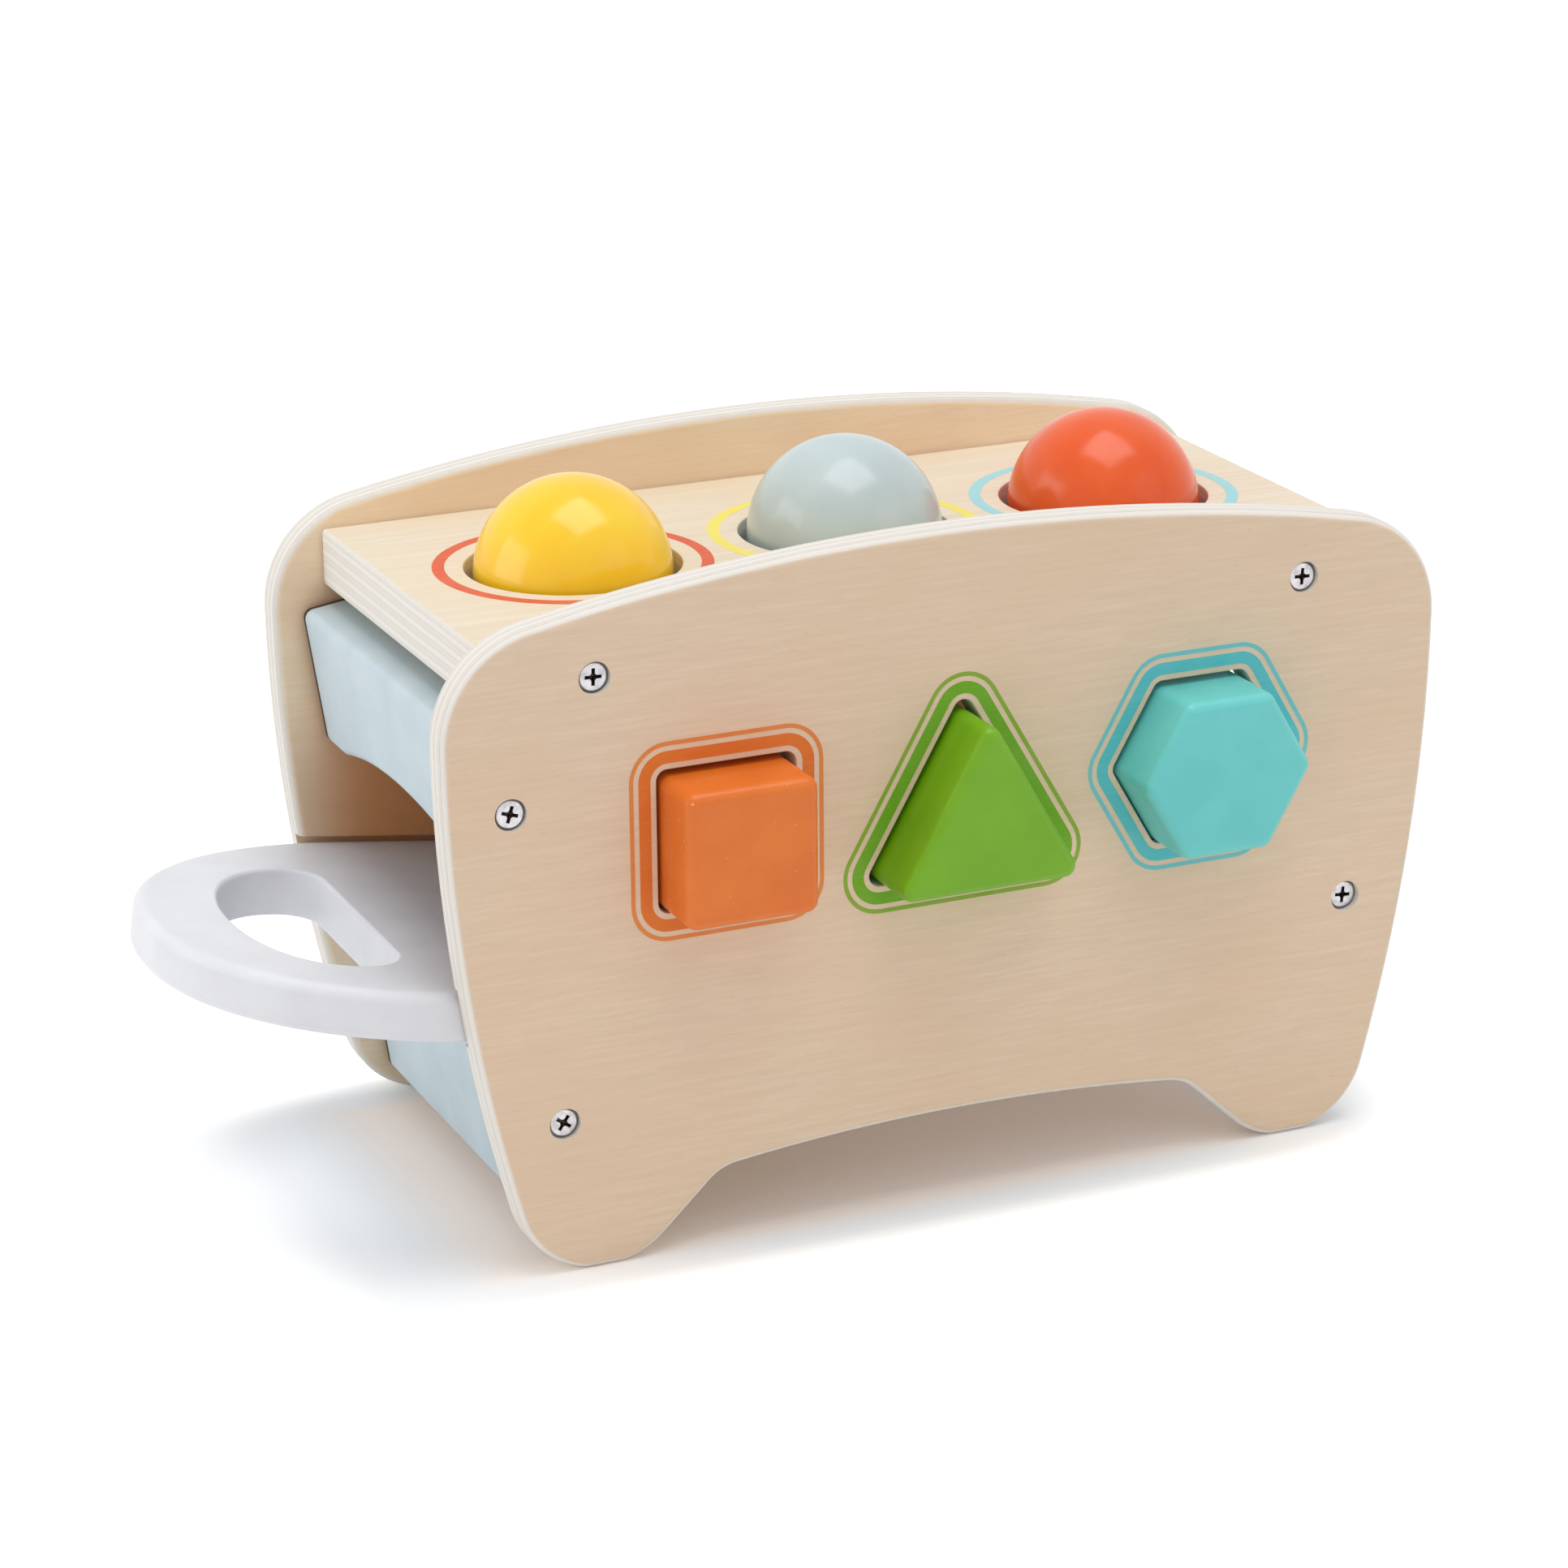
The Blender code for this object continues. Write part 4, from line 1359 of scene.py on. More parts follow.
    def cut_shapes(self, panel: bpy.types.Object, levels: Sequence[float]) -> None:
        """Cut the shaped holes and take the sharpness off their rims.

        Args:
            panel: The panel.
            levels: Where its two faces are along Y.
        """
        start = self.outer() + CUT_OVERRUN
        for shape in SHAPES:
            arcs = shape.arcs(0.0, self.hole_corner, self.small_arc_steps)
            pencil = draw_arcs(shape.word + "_cutter", DrawingPlane.FRONT, start, arcs)
            carve(panel, pencil.solid(self.thickness + 2 * CUT_OVERRUN))
            centre = Vector((shape.x, 0, shape.z))
            near = near_axis(centre, 1, self.hole_reach_share * shape.inradius)
            round_edges(panel, both(at_level(1, *levels), near), self.hole_rim, self.rim_facets)

    def drill_screw_holes(self, panel: bpy.types.Object, side: Side) -> None:
        """Drill the countersunk screw holes.

        Args:
            panel: The panel.
            side: Which panel it is.
        """
        cone = self.screw_rim - self.screw_shank
        profile = [
            (0.0, CUT_OVERRUN),
            (self.screw_rim, CUT_OVERRUN),
            (self.screw_rim, -self.screw_wall),
            (self.screw_shank, -cone - self.screw_wall),
            (self.screw_shank, -self.screw_depth),
            (0.0, -self.screw_depth),
        ]
        drill = turn_profile("countersink", profile, self.drill_steps)
        outer = side.value * self.outer()
        for spot in SCREW_SPOTS:
            place = Matrix.Translation((spot.x, outer, spot.z))
            turn = Matrix.Rotation(-side.value * pi / 2, 4, "X")
            carve(panel, copy_piece(drill, "countersink_" + spot.word, place @ turn))
        discard(drill)

    def ease_groove_mouth(self, panel: bpy.types.Object, level: float) -> None:
        """Round the long edges of the groove, where the tray runs in.

        Args:
            panel: The panel.
            level: Where its inner face is along Y.
        """
        slope = tan(self.tray.slope)

        def runs_along_groove(one: Vector, other: Vector) -> bool:
            """The edge follows the tray's slope."""
            run = other - one
            return abs(run.z + run.x * slope) < self.groove_slack and abs(run.x) > self.groove_run

        mouth = both(at_level(1, level), runs_along_groove)
        round_edges(panel, mouth, self.groove_mouth_round, self.rim_facets)


@dataclass
class PrintedLines:
    """The printed outlines round the shaped holes: a thick band and a thin line outside it."""

    bench: BenchAxes
    face: float = 0.0675
    ink: float = 0.00005
    hole_corner: float = 0.0028
    band: tuple[float, float] = (0.0016, 0.0047)
    line: tuple[float, float] = (0.0060, 0.0071)
    corner_steps: int = 12

    def build(self) -> None:
        """Print a band and a line round each shaped hole."""
        for shape in SHAPES:
            self.ring(shape.word + "_printed_band", shape, self.band, shape.band_ink)
            self.ring(shape.word + "_printed_line", shape, self.line, shape.line_ink)

    def ring(self, name: str, shape: Shape, growths: tuple[float, float], ink: PadPrint) -> None:
        """Print one ring of ink that follows a hole.

        Args:
            name: Name of the print.
            shape: The shape it follows.
            growths: How far its inner and outer edges are from the hole's edge.
            ink: Its ink.
        """
        loops = []
        for growth in growths:
            arcs = shape.arcs(growth, self.hole_corner + growth, self.corner_steps)
            pencil = draw_arcs(name, DrawingPlane.FRONT, self.face + self.ink, arcs)
            bpy.ops.mesh.select_all(action="SELECT")
            bpy.ops.mesh.remove_doubles(threshold=MERGE_DISTANCE)
            close_mesh()
            loops.append(pencil.piece)
        ring = loops[0]
        take(ring)
        loops[1].select_set(True)
        bpy.ops.object.join()
        open_mesh(ring)
        bpy.ops.mesh.select_mode(type="EDGE")
        bpy.ops.mesh.select_all(action="SELECT")
        bpy.ops.mesh.bridge_edge_loops()
        bpy.ops.mesh.select_all(action="SELECT")
        bpy.ops.mesh.extrude_region_move(TRANSFORM_OT_translate={"value": (0, self.ink, 0)})
        face_outwards()
        close_mesh()
        seat(ring, self.bench.matrix())
        dress(ring, ink, "bench")


@dataclass(frozen=True)
class BallSpot:
    """One ball hole with its ball, paint and printed ring."""

    side: str
    word: str
    x: float
    lift: float
    paint: WoodPaint
    slot: Slot
    ink: PadPrint


TURNED_GRAIN = Pattern((3, 3, 9), detail=3)
RING_GRAIN = Pattern((12, 0.6, 6), detail=4, roughness=0.6)

BALL_SPOTS = (
    BallSpot(
        side="left", word="yellow", x=-0.0742, lift=0.0,
        paint=WoodPaint(
            name="yellow_gloss_paint", deep="FECB1E", colour="FFCF23", light="FFD42D",
            gloss=0.18, specular=0.5, relief=0.00001, grain=TURNED_GRAIN,
        ),
        slot=Slot.YELLOW,
        ink=PadPrint(name="coral_pad_print", colour="DE6240", thin="EC967C", grain=RING_GRAIN),
    ),
    BallSpot(
        side="middle", word="grey", x=0.0, lift=0.0014,
        paint=WoodPaint(
            name="grey_blue_gloss_paint", deep="BBCBCB", colour="BFCECE", light="C3D1D1",
            gloss=0.20, specular=0.45, relief=0.00001, grain=TURNED_GRAIN,
        ),
        slot=Slot.GREY_BLUE,
        ink=PadPrint(name="yellow_pad_print", colour="F4E46A", thin="F3EB9E", grain=RING_GRAIN),
    ),
    BallSpot(
        side="right", word="red", x=0.0742, lift=0.0,
        paint=WoodPaint(
            name="orange_red_gloss_paint", deep="E95616", colour="EC5B19", light="EF6120",
            gloss=0.20, specular=0.42, relief=0.00001, grain=TURNED_GRAIN,
        ),
        slot=Slot.RED,
        ink=PadPrint(name="pale_teal_pad_print", colour="A2DADE", thin="C2E6E4", grain=RING_GRAIN),
    ),
)


@dataclass
class TopBoard:
    """The board between the panels: three ball holes with rebates below and printed rings above."""

    bench: BenchAxes
    half_length: float = 0.1207
    half_width: float = 0.0577
    top: float = 0.1586
    thickness: float = 0.015
    ply: float = 0.00167
    arris: float = 0.0012
    hole_radius: float = 0.0272
    hole_rim: float = 0.0006
    rebate_radius: float = 0.0313
    rebate_depth: float = 0.0036
    rim_reach: float = 0.001
    print_inner: float = 0.0320
    print_outer: float = 0.0351
    ink: float = 0.00005
    arris_facets: int = 3
    rim_facets: int = 2
    drill_steps: int = 96
    print_steps: int = 120

    def build(self) -> None:
        """Model, drill and dress the board, then print its rings."""
        bottom = self.top - self.thickness
        low = Vector((-self.half_length, -self.half_width, bottom))
        high = Vector((self.half_length, self.half_width, self.top))
        board = block_out("top_board_wood", low, high)
        round_edges(board, every_edge, self.arris, self.arris_facets)
        drill = self.drill(bottom)
        for spot in BALL_SPOTS:
            centre = Vector((spot.x, 0, 0))
            carve(board, copy_piece(drill, "ball_drill_" + spot.side, Matrix.Translation(centre)))
            near = near_axis(centre, 2, self.rebate_radius + self.rim_reach)
            rim = both(at_level(2, self.top, bottom), near)
            round_edges(board, rim, self.hole_rim, self.rim_facets)
        discard(drill)
        smooth(board)
        seat(board, self.bench.matrix())
        dress(board, self.finish(), "bench", ["top_board"])
        self.print_rings()

    def finish(self) -> LacqueredPlywood:
        """Describe the pale plywood, its plies counted from the top face.

        Returns:
            The board's finish.
        """
        return LacqueredPlywood(
            name="pale_lacquered_birch_plywood",
            stack=PlyStack.UPWARDS,
            outer_face=self.top,
            ply=self.ply,
            face=("E5D5BA", "E9DAC2", "EEE1CC"),
            cloud="E7D5B6",
            plies=("F0EAE1", "E6E0D6", "D9D2C7"),
            fleck="CDB389",
            streak=Pattern((60, 1.5, 6), detail=5, roughness=0.6, distortion=0.3),
            flecks=Pattern((5, 0.4, 2), detail=1),
        )

    def drill(self, bottom: float) -> bpy.types.Object:
        """Turn the stepped drill for a ball hole and its rebate.

        Args:
            bottom: Height of the board's underside.

        Returns:
            The cutter.
        """
        step = bottom + self.rebate_depth
        profile = [
            (0.0, self.top + CUT_OVERRUN),
            (self.hole_radius, self.top + CUT_OVERRUN),
            (self.hole_radius, step),
            (self.rebate_radius, step),
            (self.rebate_radius, bottom - CUT_OVERRUN),
            (0.0, bottom - CUT_OVERRUN),
        ]
        return turn_profile("ball_drill", profile, self.drill_steps)

    def print_rings(self) -> None:
        """Print a coloured ring round each ball hole."""
        low, high = self.top, self.top + self.ink
        inner, outer = self.print_inner, self.print_outer
        profile = [(inner, low), (inner, high), (outer, high), (outer, low), (inner, low)]
        ring = turn_profile("printed_ring", profile, self.print_steps)
        for spot in BALL_SPOTS:
            place = self.bench.matrix() @ Matrix.Translation((spot.x, 0, 0))
            made = copy_piece(ring, spot.side + "_printed_ring", place)
            dress(made, spot.ink, "bench")
        discard(ring)


@dataclass
class BallSet:
    """The painted balls, and the rubber rings whose lips hold them up."""

    bench: BenchAxes
    radius: float = 0.025
    height: float = 0.1562
    cuts: int = 7
    ring_outer: float = 0.0310
    ring_bottom: float = 0.1439
    ring_top: float = 0.1469
    clearance: float = 0.0003
    lip: float = 0.0008
    lip_dip: float = 0.0001
    lip_share: float = 0.3
    levels: int = 2
    ring_steps: int = 96
    ring_shaded: float = 50

    def build(self) -> None:
        """Make one ball and copy it, then make each ball's ring."""
        ball = self.ball()
        rubber = MouldedRubber(name="moulded_black_rubber")
        for spot in BALL_SPOTS:
            place = self.bench.matrix() @ Matrix.Translation((spot.x, 0, self.height + spot.lift))
            made = copy_piece(ball, "ball_" + spot.word + "_wood", place)
            dress(made, spot.paint, spot.word + "_ball", ["ball_" + spot.word])
            name = "ball_ring_" + spot.side
            ring = self.ring(name + "_rubber", spot.lift)
            seat(ring, self.bench.matrix() @ Matrix.Translation((spot.x, 0, 0)))
            dress(ring, rubber, "bench", [name])
        discard(ball)

    def ball(self) -> bpy.types.Object:
        """Turn a cube into a ball with even faces, without a pole.

        Returns:
            The ball about the origin.
        """
        corner = Vector((self.radius,) * 3)
        ball = block_out("ball_blank", -corner, corner)
        open_mesh(ball)
        bpy.ops.mesh.select_all(action="SELECT")
        bpy.ops.mesh.subdivide(number_cuts=self.cuts)
        bpy.ops.transform.tosphere(value=1.0)
        close_mesh()
        apply_modifier(ball, "SUBSURF", levels=self.levels, render_levels=self.levels)
        open_mesh(ball)
        bpy.ops.mesh.select_all(action="SELECT")
        bpy.ops.transform.tosphere(value=1.0)
        shell = bmesh.from_edit_mesh(ball.data)
        share = self.radius / max(vertex.co.length for vertex in shell.verts)
        bpy.ops.transform.resize(value=(share, share, share), center_override=(0, 0, 0))
        close_mesh()
        take(ball)
        bpy.ops.object.shade_smooth()
        return ball

    def ring(self, name: str, lift: float) -> bpy.types.Object:
        """Turn a rubber ring, its lip rounded where the ball rests.

        Args:
            name: Name of the ring.
            lift: How much higher than the others its ball sits.

        Returns:
            The ring about Z.
        """
        reach = self.radius + self.clearance
        bore = sqrt(reach ** 2 - (self.height + lift - self.ring_top) ** 2)
        lip, part = self.lip, self.lip_share * self.lip
        low, high = self.ring_bottom, self.ring_top
        profile = [
            (bore + lip, high - self.lip_dip),
            (self.ring_outer, high),
            (self.ring_outer, low),
            (bore + lip, low),
            (bore + part, low + part),
            (bore, low + lip),
            (bore, high - lip),
            (bore + part, high - part),
            (bore + lip, high - self.lip_dip),
        ]
        ring = turn_profile(name, profile, self.ring_steps)
        smooth(ring, self.ring_shaded)
        return ring


@dataclass
class BlockSet:
    """The painted blocks that stand in the shaped holes."""

    bench: BenchAxes
    play: float = 0.0010
    clearance: float = 0.0003
    corner: float = 0.0030
    arris: float = 0.0025
    reach_out: float = 0.0838
    reach_in: float = 0.0418
    corner_steps: int = 8
    arris_facets: int = 6

    def build(self) -> None:
        """Make the square, the triangle and the hexagon, each on the lower edge of its hole."""
        drop = Matrix.Translation((0, 0, self.clearance - self.play))
        for shape in SHAPES:
            name = shape.word + "_block"
            arcs = shape.arcs(-self.play, self.corner, self.corner_steps)
            pencil = draw_arcs(name + "_wood", DrawingPlane.FRONT, self.reach_out, arcs)
            block = pencil.solid(self.reach_out - self.reach_in)
            faces = at_level(1, -self.reach_out, -self.reach_in)
            round_edges(block, faces, self.arris, self.arris_facets)
            smooth(block)
            seat(block, self.bench.matrix() @ drop)
            dress(block, shape.paint, shape.word, [name])


@dataclass(frozen=True)
class ExitArch:
    """The shallow arch in a board's lower edge, with eased ends."""

    half: float = 0.0435
    rise: float = 0.0056
    ease: float = 0.006
    ease_steps: int = 6
    arch_steps: int = 36

    def arcs(self, base: float) -> list[Arc]:
        """Lay out the arch from left to right.

        Args:
            base: Height of the board's lower edge.

        Returns:
            Its eased start, the arch and its eased end.
        """
        radius = (self.half ** 2 + self.rise ** 2) / (2 * self.rise)
        middle = base + self.rise - radius
        ease_z = base + self.ease
        ease_y = sqrt((radius + self.ease) ** 2 - (ease_z - middle) ** 2)
        lean = atan2(ease_y, ease_z - middle)
        return [
            Arc((-ease_y, ease_z), self.ease, DOWN, DOWN + lean, self.ease_steps),
            Arc((0.0, middle), radius, pi / 2 + lean, pi / 2 - lean, self.arch_steps),
            Arc((ease_y, ease_z), self.ease, DOWN - lean, DOWN, self.ease_steps),
        ]


class End(Enum):
    """The end of the bench that a board closes, by its sign along X."""

    LEFT = -1
    RIGHT = 1


@dataclass
class EndBoard:
    """A pale blue cross board, leaning outwards at its top, held by one screw at each end."""

    name: str
    bench: BenchAxes
    x: float
    z: float
    end: End
    down: float
    up: float
    arch: ExitArch | None = None
    half_width: float = 0.0572
    thickness: float = 0.014
    arris: float = 0.0025
    end_arris: float = 0.0006
    # How far in from each end the painted crevice shade reaches
    bare_end: float = 0.0021
    lean: float = radians(8.3)
    arris_facets: int = 5
    end_facets: int = 2

    def build(self) -> None:
        """Draw the board's face, thicken it, round its long edges, lean it and dress it."""
        half = self.thickness / 2
        pencil = Pencil(self.name + "_wood", DrawingPlane.END, half, (-self.half_width, -self.down))
        for arc in self.arch.arcs(-self.down) if self.arch else []:
            pencil.arc(arc)
        wide, low = self.half_width, -self.down
        for corner in ((wide, low), (wide, self.up), (-wide, self.up), (-wide, low)):
            pencil.line_to(corner)
        board = pencil.solid(self.thickness)
        inside = self.half_width - LEVEL_TOLERANCE

        def long_edge(one: Vector, other: Vector) -> bool:
            """The edge runs along the board, not round one of its ends."""
            return not (min(one.y, other.y) > inside or max(one.y, other.y) < -inside)

        long_edges = both(at_level(0, half, -half), long_edge)
        round_edges(board, long_edges, self.arris, self.arris_facets)
        round_edges(board, at_level(1, wide, -wide), self.end_arris, self.end_facets)
        smooth(board)
        lean = Matrix.Rotation(self.end.value * self.lean, 4, "Y")
        seat(board, self.bench.matrix() @ Matrix.Translation((self.x, 0, self.z)) @ lean)
        # The paint, with painted crevice shade across both ends
        paint = WoodPaint(
            name="pale_blue_satin_paint", deep="C2D2D8", colour="C5D5DB", light="C9D8DE",
            gloss=0.46, relief=0.00004, grain=Pattern((2, 30, 1.6), detail=3),
            middle=self.bench.y, painted_to=self.half_width - self.bare_end,
        )
        dress(board, paint, "bench", [self.name])


@dataclass(frozen=True)
class BarPlace:
    """One sound bar's place along the tray, its length and how far out its pins stand."""

    along: float
    length: float
    pins: float

    def pin(self, side: Side) -> Matrix:
        """The place of one of its pins in the tray's axes."""
        return Matrix.Translation((self.along, side.value * self.pins, 0))


@dataclass(frozen=True)
class BarLayout:
    """How the eight bars stand along the tray, longest at the handle."""

    count: int = 8
    first: float = 0.0515
    last: float = 0.2083
    width: float = 0.0186
    longest: float = 0.104
    shortest: float = 0.076
    node_share: float = 0.224

    def places(self) -> list[BarPlace]:
        """Space the bars evenly and shorten them evenly.

        Returns:
            The bars' places, longest first.
        """
        places = []
        for number in range(self.count):
            share = number / (self.count - 1)
            length = self.longest + (self.shortest - self.longest) * share
            along = self.first + (self.last - self.first) * share
            places.append(BarPlace(along, length, length * (1 / 2 - self.node_share)))
        return places

    def pin_spots(self) -> list[Matrix]:
        """Find every pin, bar by bar.

        Returns:
            The pins' places in the tray's axes.
        """
        return [place.pin(side) for place in self.places() for side in Side]


@dataclass
class Tray:
    """The white sliding board; its left end is the rounded handle with a finger hole."""

    bench: BenchAxes
    axes: TrayAxes
    layout: BarLayout
    half_width: float = 0.0612
    thickness: float = 0.0126
    arris: float = 0.003
    end: float = 0.24337
    corner: float = 0.004
    handle_tip: float = 0.060
    handle_start: float = 0.012
    handle_power: float = 2.2
    finger_edge: float = 0.005
    finger_corner: float = 0.009
    finger_half_width: float = 0.037
    finger_depth: float = 0.0245
    finger_arris: float = 0.0011
    pin_hole_radius: float = 0.0015
    pin_hole_depth: float = 0.0083
    corner_steps: int = 8
    handle_steps: int = 84
    arris_facets: int = 6
    finger_corner_steps: int = 12
    finger_steps: int = 56
    finger_facets: int = 3
    drill_steps: int = 16

    def build(self) -> None:
        """Model the tray flat, drill it, slope it and dress it."""
        inset = self.half_width - self.corner
        far = self.end - self.corner
        pencil = Pencil("xylophone_tray_wood", DrawingPlane.FLAT, 0, (far, -self.half_width))
        pencil.arc(Arc((far, -inset), self.corner, -pi / 2, 0, self.corner_steps))
        pencil.arc(Arc((far, inset), self.corner, 0, pi / 2, self.corner_steps))
        reach = self.handle_start + self.handle_tip
        for point in self.oval(self.handle_start, reach, self.half_width, self.handle_steps):
            pencil.line_to(point)
        pencil.line_to((far, -self.half_width))
        tray = pencil.solid(self.thickness)
        faces = at_level(2, 0.0, -self.thickness)
        round_edges(tray, faces, self.arris, self.arris_facets)
        carve(tray, self.finger_hole())
        mouth = both(faces, self.round_finger_hole)
        round_edges(tray, mouth, self.finger_arris, self.finger_facets)
        drill = self.pin_drill()
        for spot in self.layout.pin_spots():
            carve(tray, copy_piece(drill, "pin_drill_copy", spot))
        discard(drill)
        smooth(tray)
        seat(tray, self.axes.matrix(self.bench))
        paint = WoodPaint(
            name="white_satin_paint", deep="E4E4E8", colour="E7E7EB", light="EAEAED",
            gloss=0.44, relief=0.00003, grain=Pattern((30, 1.6, 2), detail=3),
            slope=self.axes.slope,
        )
        dress(tray, paint, "tray", ["xylophone_tray"])

    def oval(self, centre: float, length: float, half_width: float, steps: int) -> list[Point]:
        """Lay out the left half of a superellipse, from its upper side round the tip.

        Args:
            centre: Where its middle is along the tray.
            length: How far the tip is from the middle.
            half_width: Half its width.
            steps: Number of strokes.

        Returns:
            The points in order.
        """
        points = []
        for step in range(steps + 1):
            angle = pi / 2 - pi * step / steps
            along = abs(cos(angle)) ** (2 / self.handle_power)
            across = abs(sin(angle)) ** (2 / self.handle_power)
            beside = half_width * (across if angle > 0 else -across)
            points.append((centre - length * along, beside))
        return points

    def finger_hole(self) -> bpy.types.Object:
        """Make what cuts the rounded hole behind the handle's bar.

        Returns:
            The cutter.
        """
        centre = -self.finger_edge - self.finger_corner
        corner, half, steps = self.finger_corner, self.finger_half_width, self.finger_corner_steps
        pencil = Pencil("finger_hole_cutter", DrawingPlane.FLAT, CUT_OVERRUN, (centre, -half))
        pencil.arc(Arc((centre, corner - half), corner, -pi / 2, 0, steps))
        pencil.arc(Arc((centre, half - corner), corner, 0, pi / 2, steps))
        for point in self.oval(centre, self.finger_depth, half, self.finger_steps):
            pencil.line_to(point)
        return pencil.solid(self.thickness + 2 * CUT_OVERRUN)

    def round_finger_hole(self, one: Vector, other: Vector) -> bool:
        """Find the edges of the finger hole.

        Args:
            one: One end of an edge.
            other: Its other end.

        Returns:
            Whether the edge belongs to the hole.
        """
        middle = (one + other) / 2
        left = -self.finger_edge - self.finger_corner - self.finger_depth - MARK_SIZE
        return left < middle.x < 0 and abs(middle.y) < self.finger_half_width + MARK_SIZE

    def pin_drill(self) -> bpy.types.Object:
        """Turn a drill for the bars' pins.

        Returns:
            The cutter.
        """
        radius, depth = self.pin_hole_radius, self.pin_hole_depth
        profile = [(0.0, CUT_OVERRUN), (radius, CUT_OVERRUN), (radius, -depth), (0.0, -depth)]
        return turn_profile("pin_drill", profile, self.drill_steps)


@dataclass
class XylophoneBars:
    """Eight brushed sound bars, each held by two round-head pins."""

    bench: BenchAxes
    axes: TrayAxes
    layout: BarLayout
    thickness: float = 0.003
    bottom: float = 0.0036
    arris: float = 0.0006
    hole_radius: float = 0.0015
    hole_rim: float = 0.00025
    hole_reach: float = 0.002
    pin_radius: float = 0.0011
    head_radius: float = 0.0027
    head_height: float = 0.0014
    head_edge: float = 0.0002
    head_bevel: float = 0.0001
    pin_depth: float = 0.008
    pin_point: float = 0.0015
    clearance: float = 0.0003
    arris_facets: int = 3
    rim_facets: int = 2
    drill_steps: int = 24
    dome_steps: int = 6
    pin_steps: int = 32
    pin_shaded: float = 40

    def build(self) -> None:
        """Make the bars, then model one pin and copy it to every hole."""
        drill = self.drill()
        pin = self.pin()
        for number, place in enumerate(self.layout.places(), start=1):
            self.bar(number, place, drill)
            for side in Side:
                name = "bar_pin_" + side.word() + "_" + str(number)
                spot = self.axes.matrix(self.bench) @ place.pin(side)
                made = copy_piece(pin, name + "_steel", spot)
                dress(made, ZincPlating(name="zinc_plated_steel"), "tray", [name])
        discard(drill)
        discard(pin)

    def drill(self) -> bpy.types.Object:
        """Turn a drill that goes through a bar.

        Returns:
            The cutter.
        """
        top = self.bottom + self.thickness + CUT_OVERRUN
        low = self.bottom - CUT_OVERRUN / 4
        radius = self.hole_radius
        profile = [(0.0, top), (radius, top), (radius, low), (0.0, low)]
        return turn_profile("bar_drill", profile, self.drill_steps)

    def bar(self, number: int, place: BarPlace, drill: bpy.types.Object) -> None:
        """Make one bar with eased edges and two eased holes.

        Args:
            number: Its number from the handle.
            place: Its place and length.
            drill: The drill for its holes.
        """
        name = "xylophone_bar_" + str(number)
        top = self.bottom + self.thickness
        half = Vector((self.layout.width / 2, place.length / 2, 0))
        centre = Vector((place.along, 0, 0))
        low = centre - half + Vector((0, 0, self.bottom))
        high = centre + half + Vector((0, 0, top))
        bar = block_out(name + "_metal", low, high)
        round_edges(bar, every_edge, self.arris, self.arris_facets)
        for side in Side:
            spot = place.pin(side)
            carve(bar, copy_piece(drill, "bar_drill_copy", spot))
            near = near_axis(spot.translation, 2, self.hole_reach)
            rim = both(at_level(2, top, self.bottom), near)
            round_edges(bar, rim, self.hole_rim, self.rim_facets)
        smooth(bar)
        seat(bar, self.axes.matrix(self.bench))
        metal = BrushedAluminium(name="brushed_aluminium", slope=self.axes.slope)
        dress(bar, metal, "tray", [name])

    def pin(self) -> bpy.types.Object:
        """Turn a round-head pin with a domed head.

        Returns:
            The pin about Z, the tray's top face at zero.
        """
        neck = self.bottom + self.thickness + self.clearance
        edge = neck + self.head_edge
        dome = []
        for step in range(self.dome_steps + 1):
            angle = pi / 2 * (1 - step / self.dome_steps)
            rise = (self.head_height - self.head_edge) * sin(angle)
            dome.append((self.head_radius * cos(angle), edge + rise))
        profile = dome + [
            (self.head_radius, neck + self.head_bevel),
            (self.head_radius - self.head_bevel, neck),
            (self.pin_radius, neck),
            (self.pin_radius, -self.pin_depth + self.pin_point),
            (0.0, -self.pin_depth),
        ]
        made = turn_profile("bar_pin", profile, self.pin_steps)
        smooth(made, self.pin_shaded)
        return made


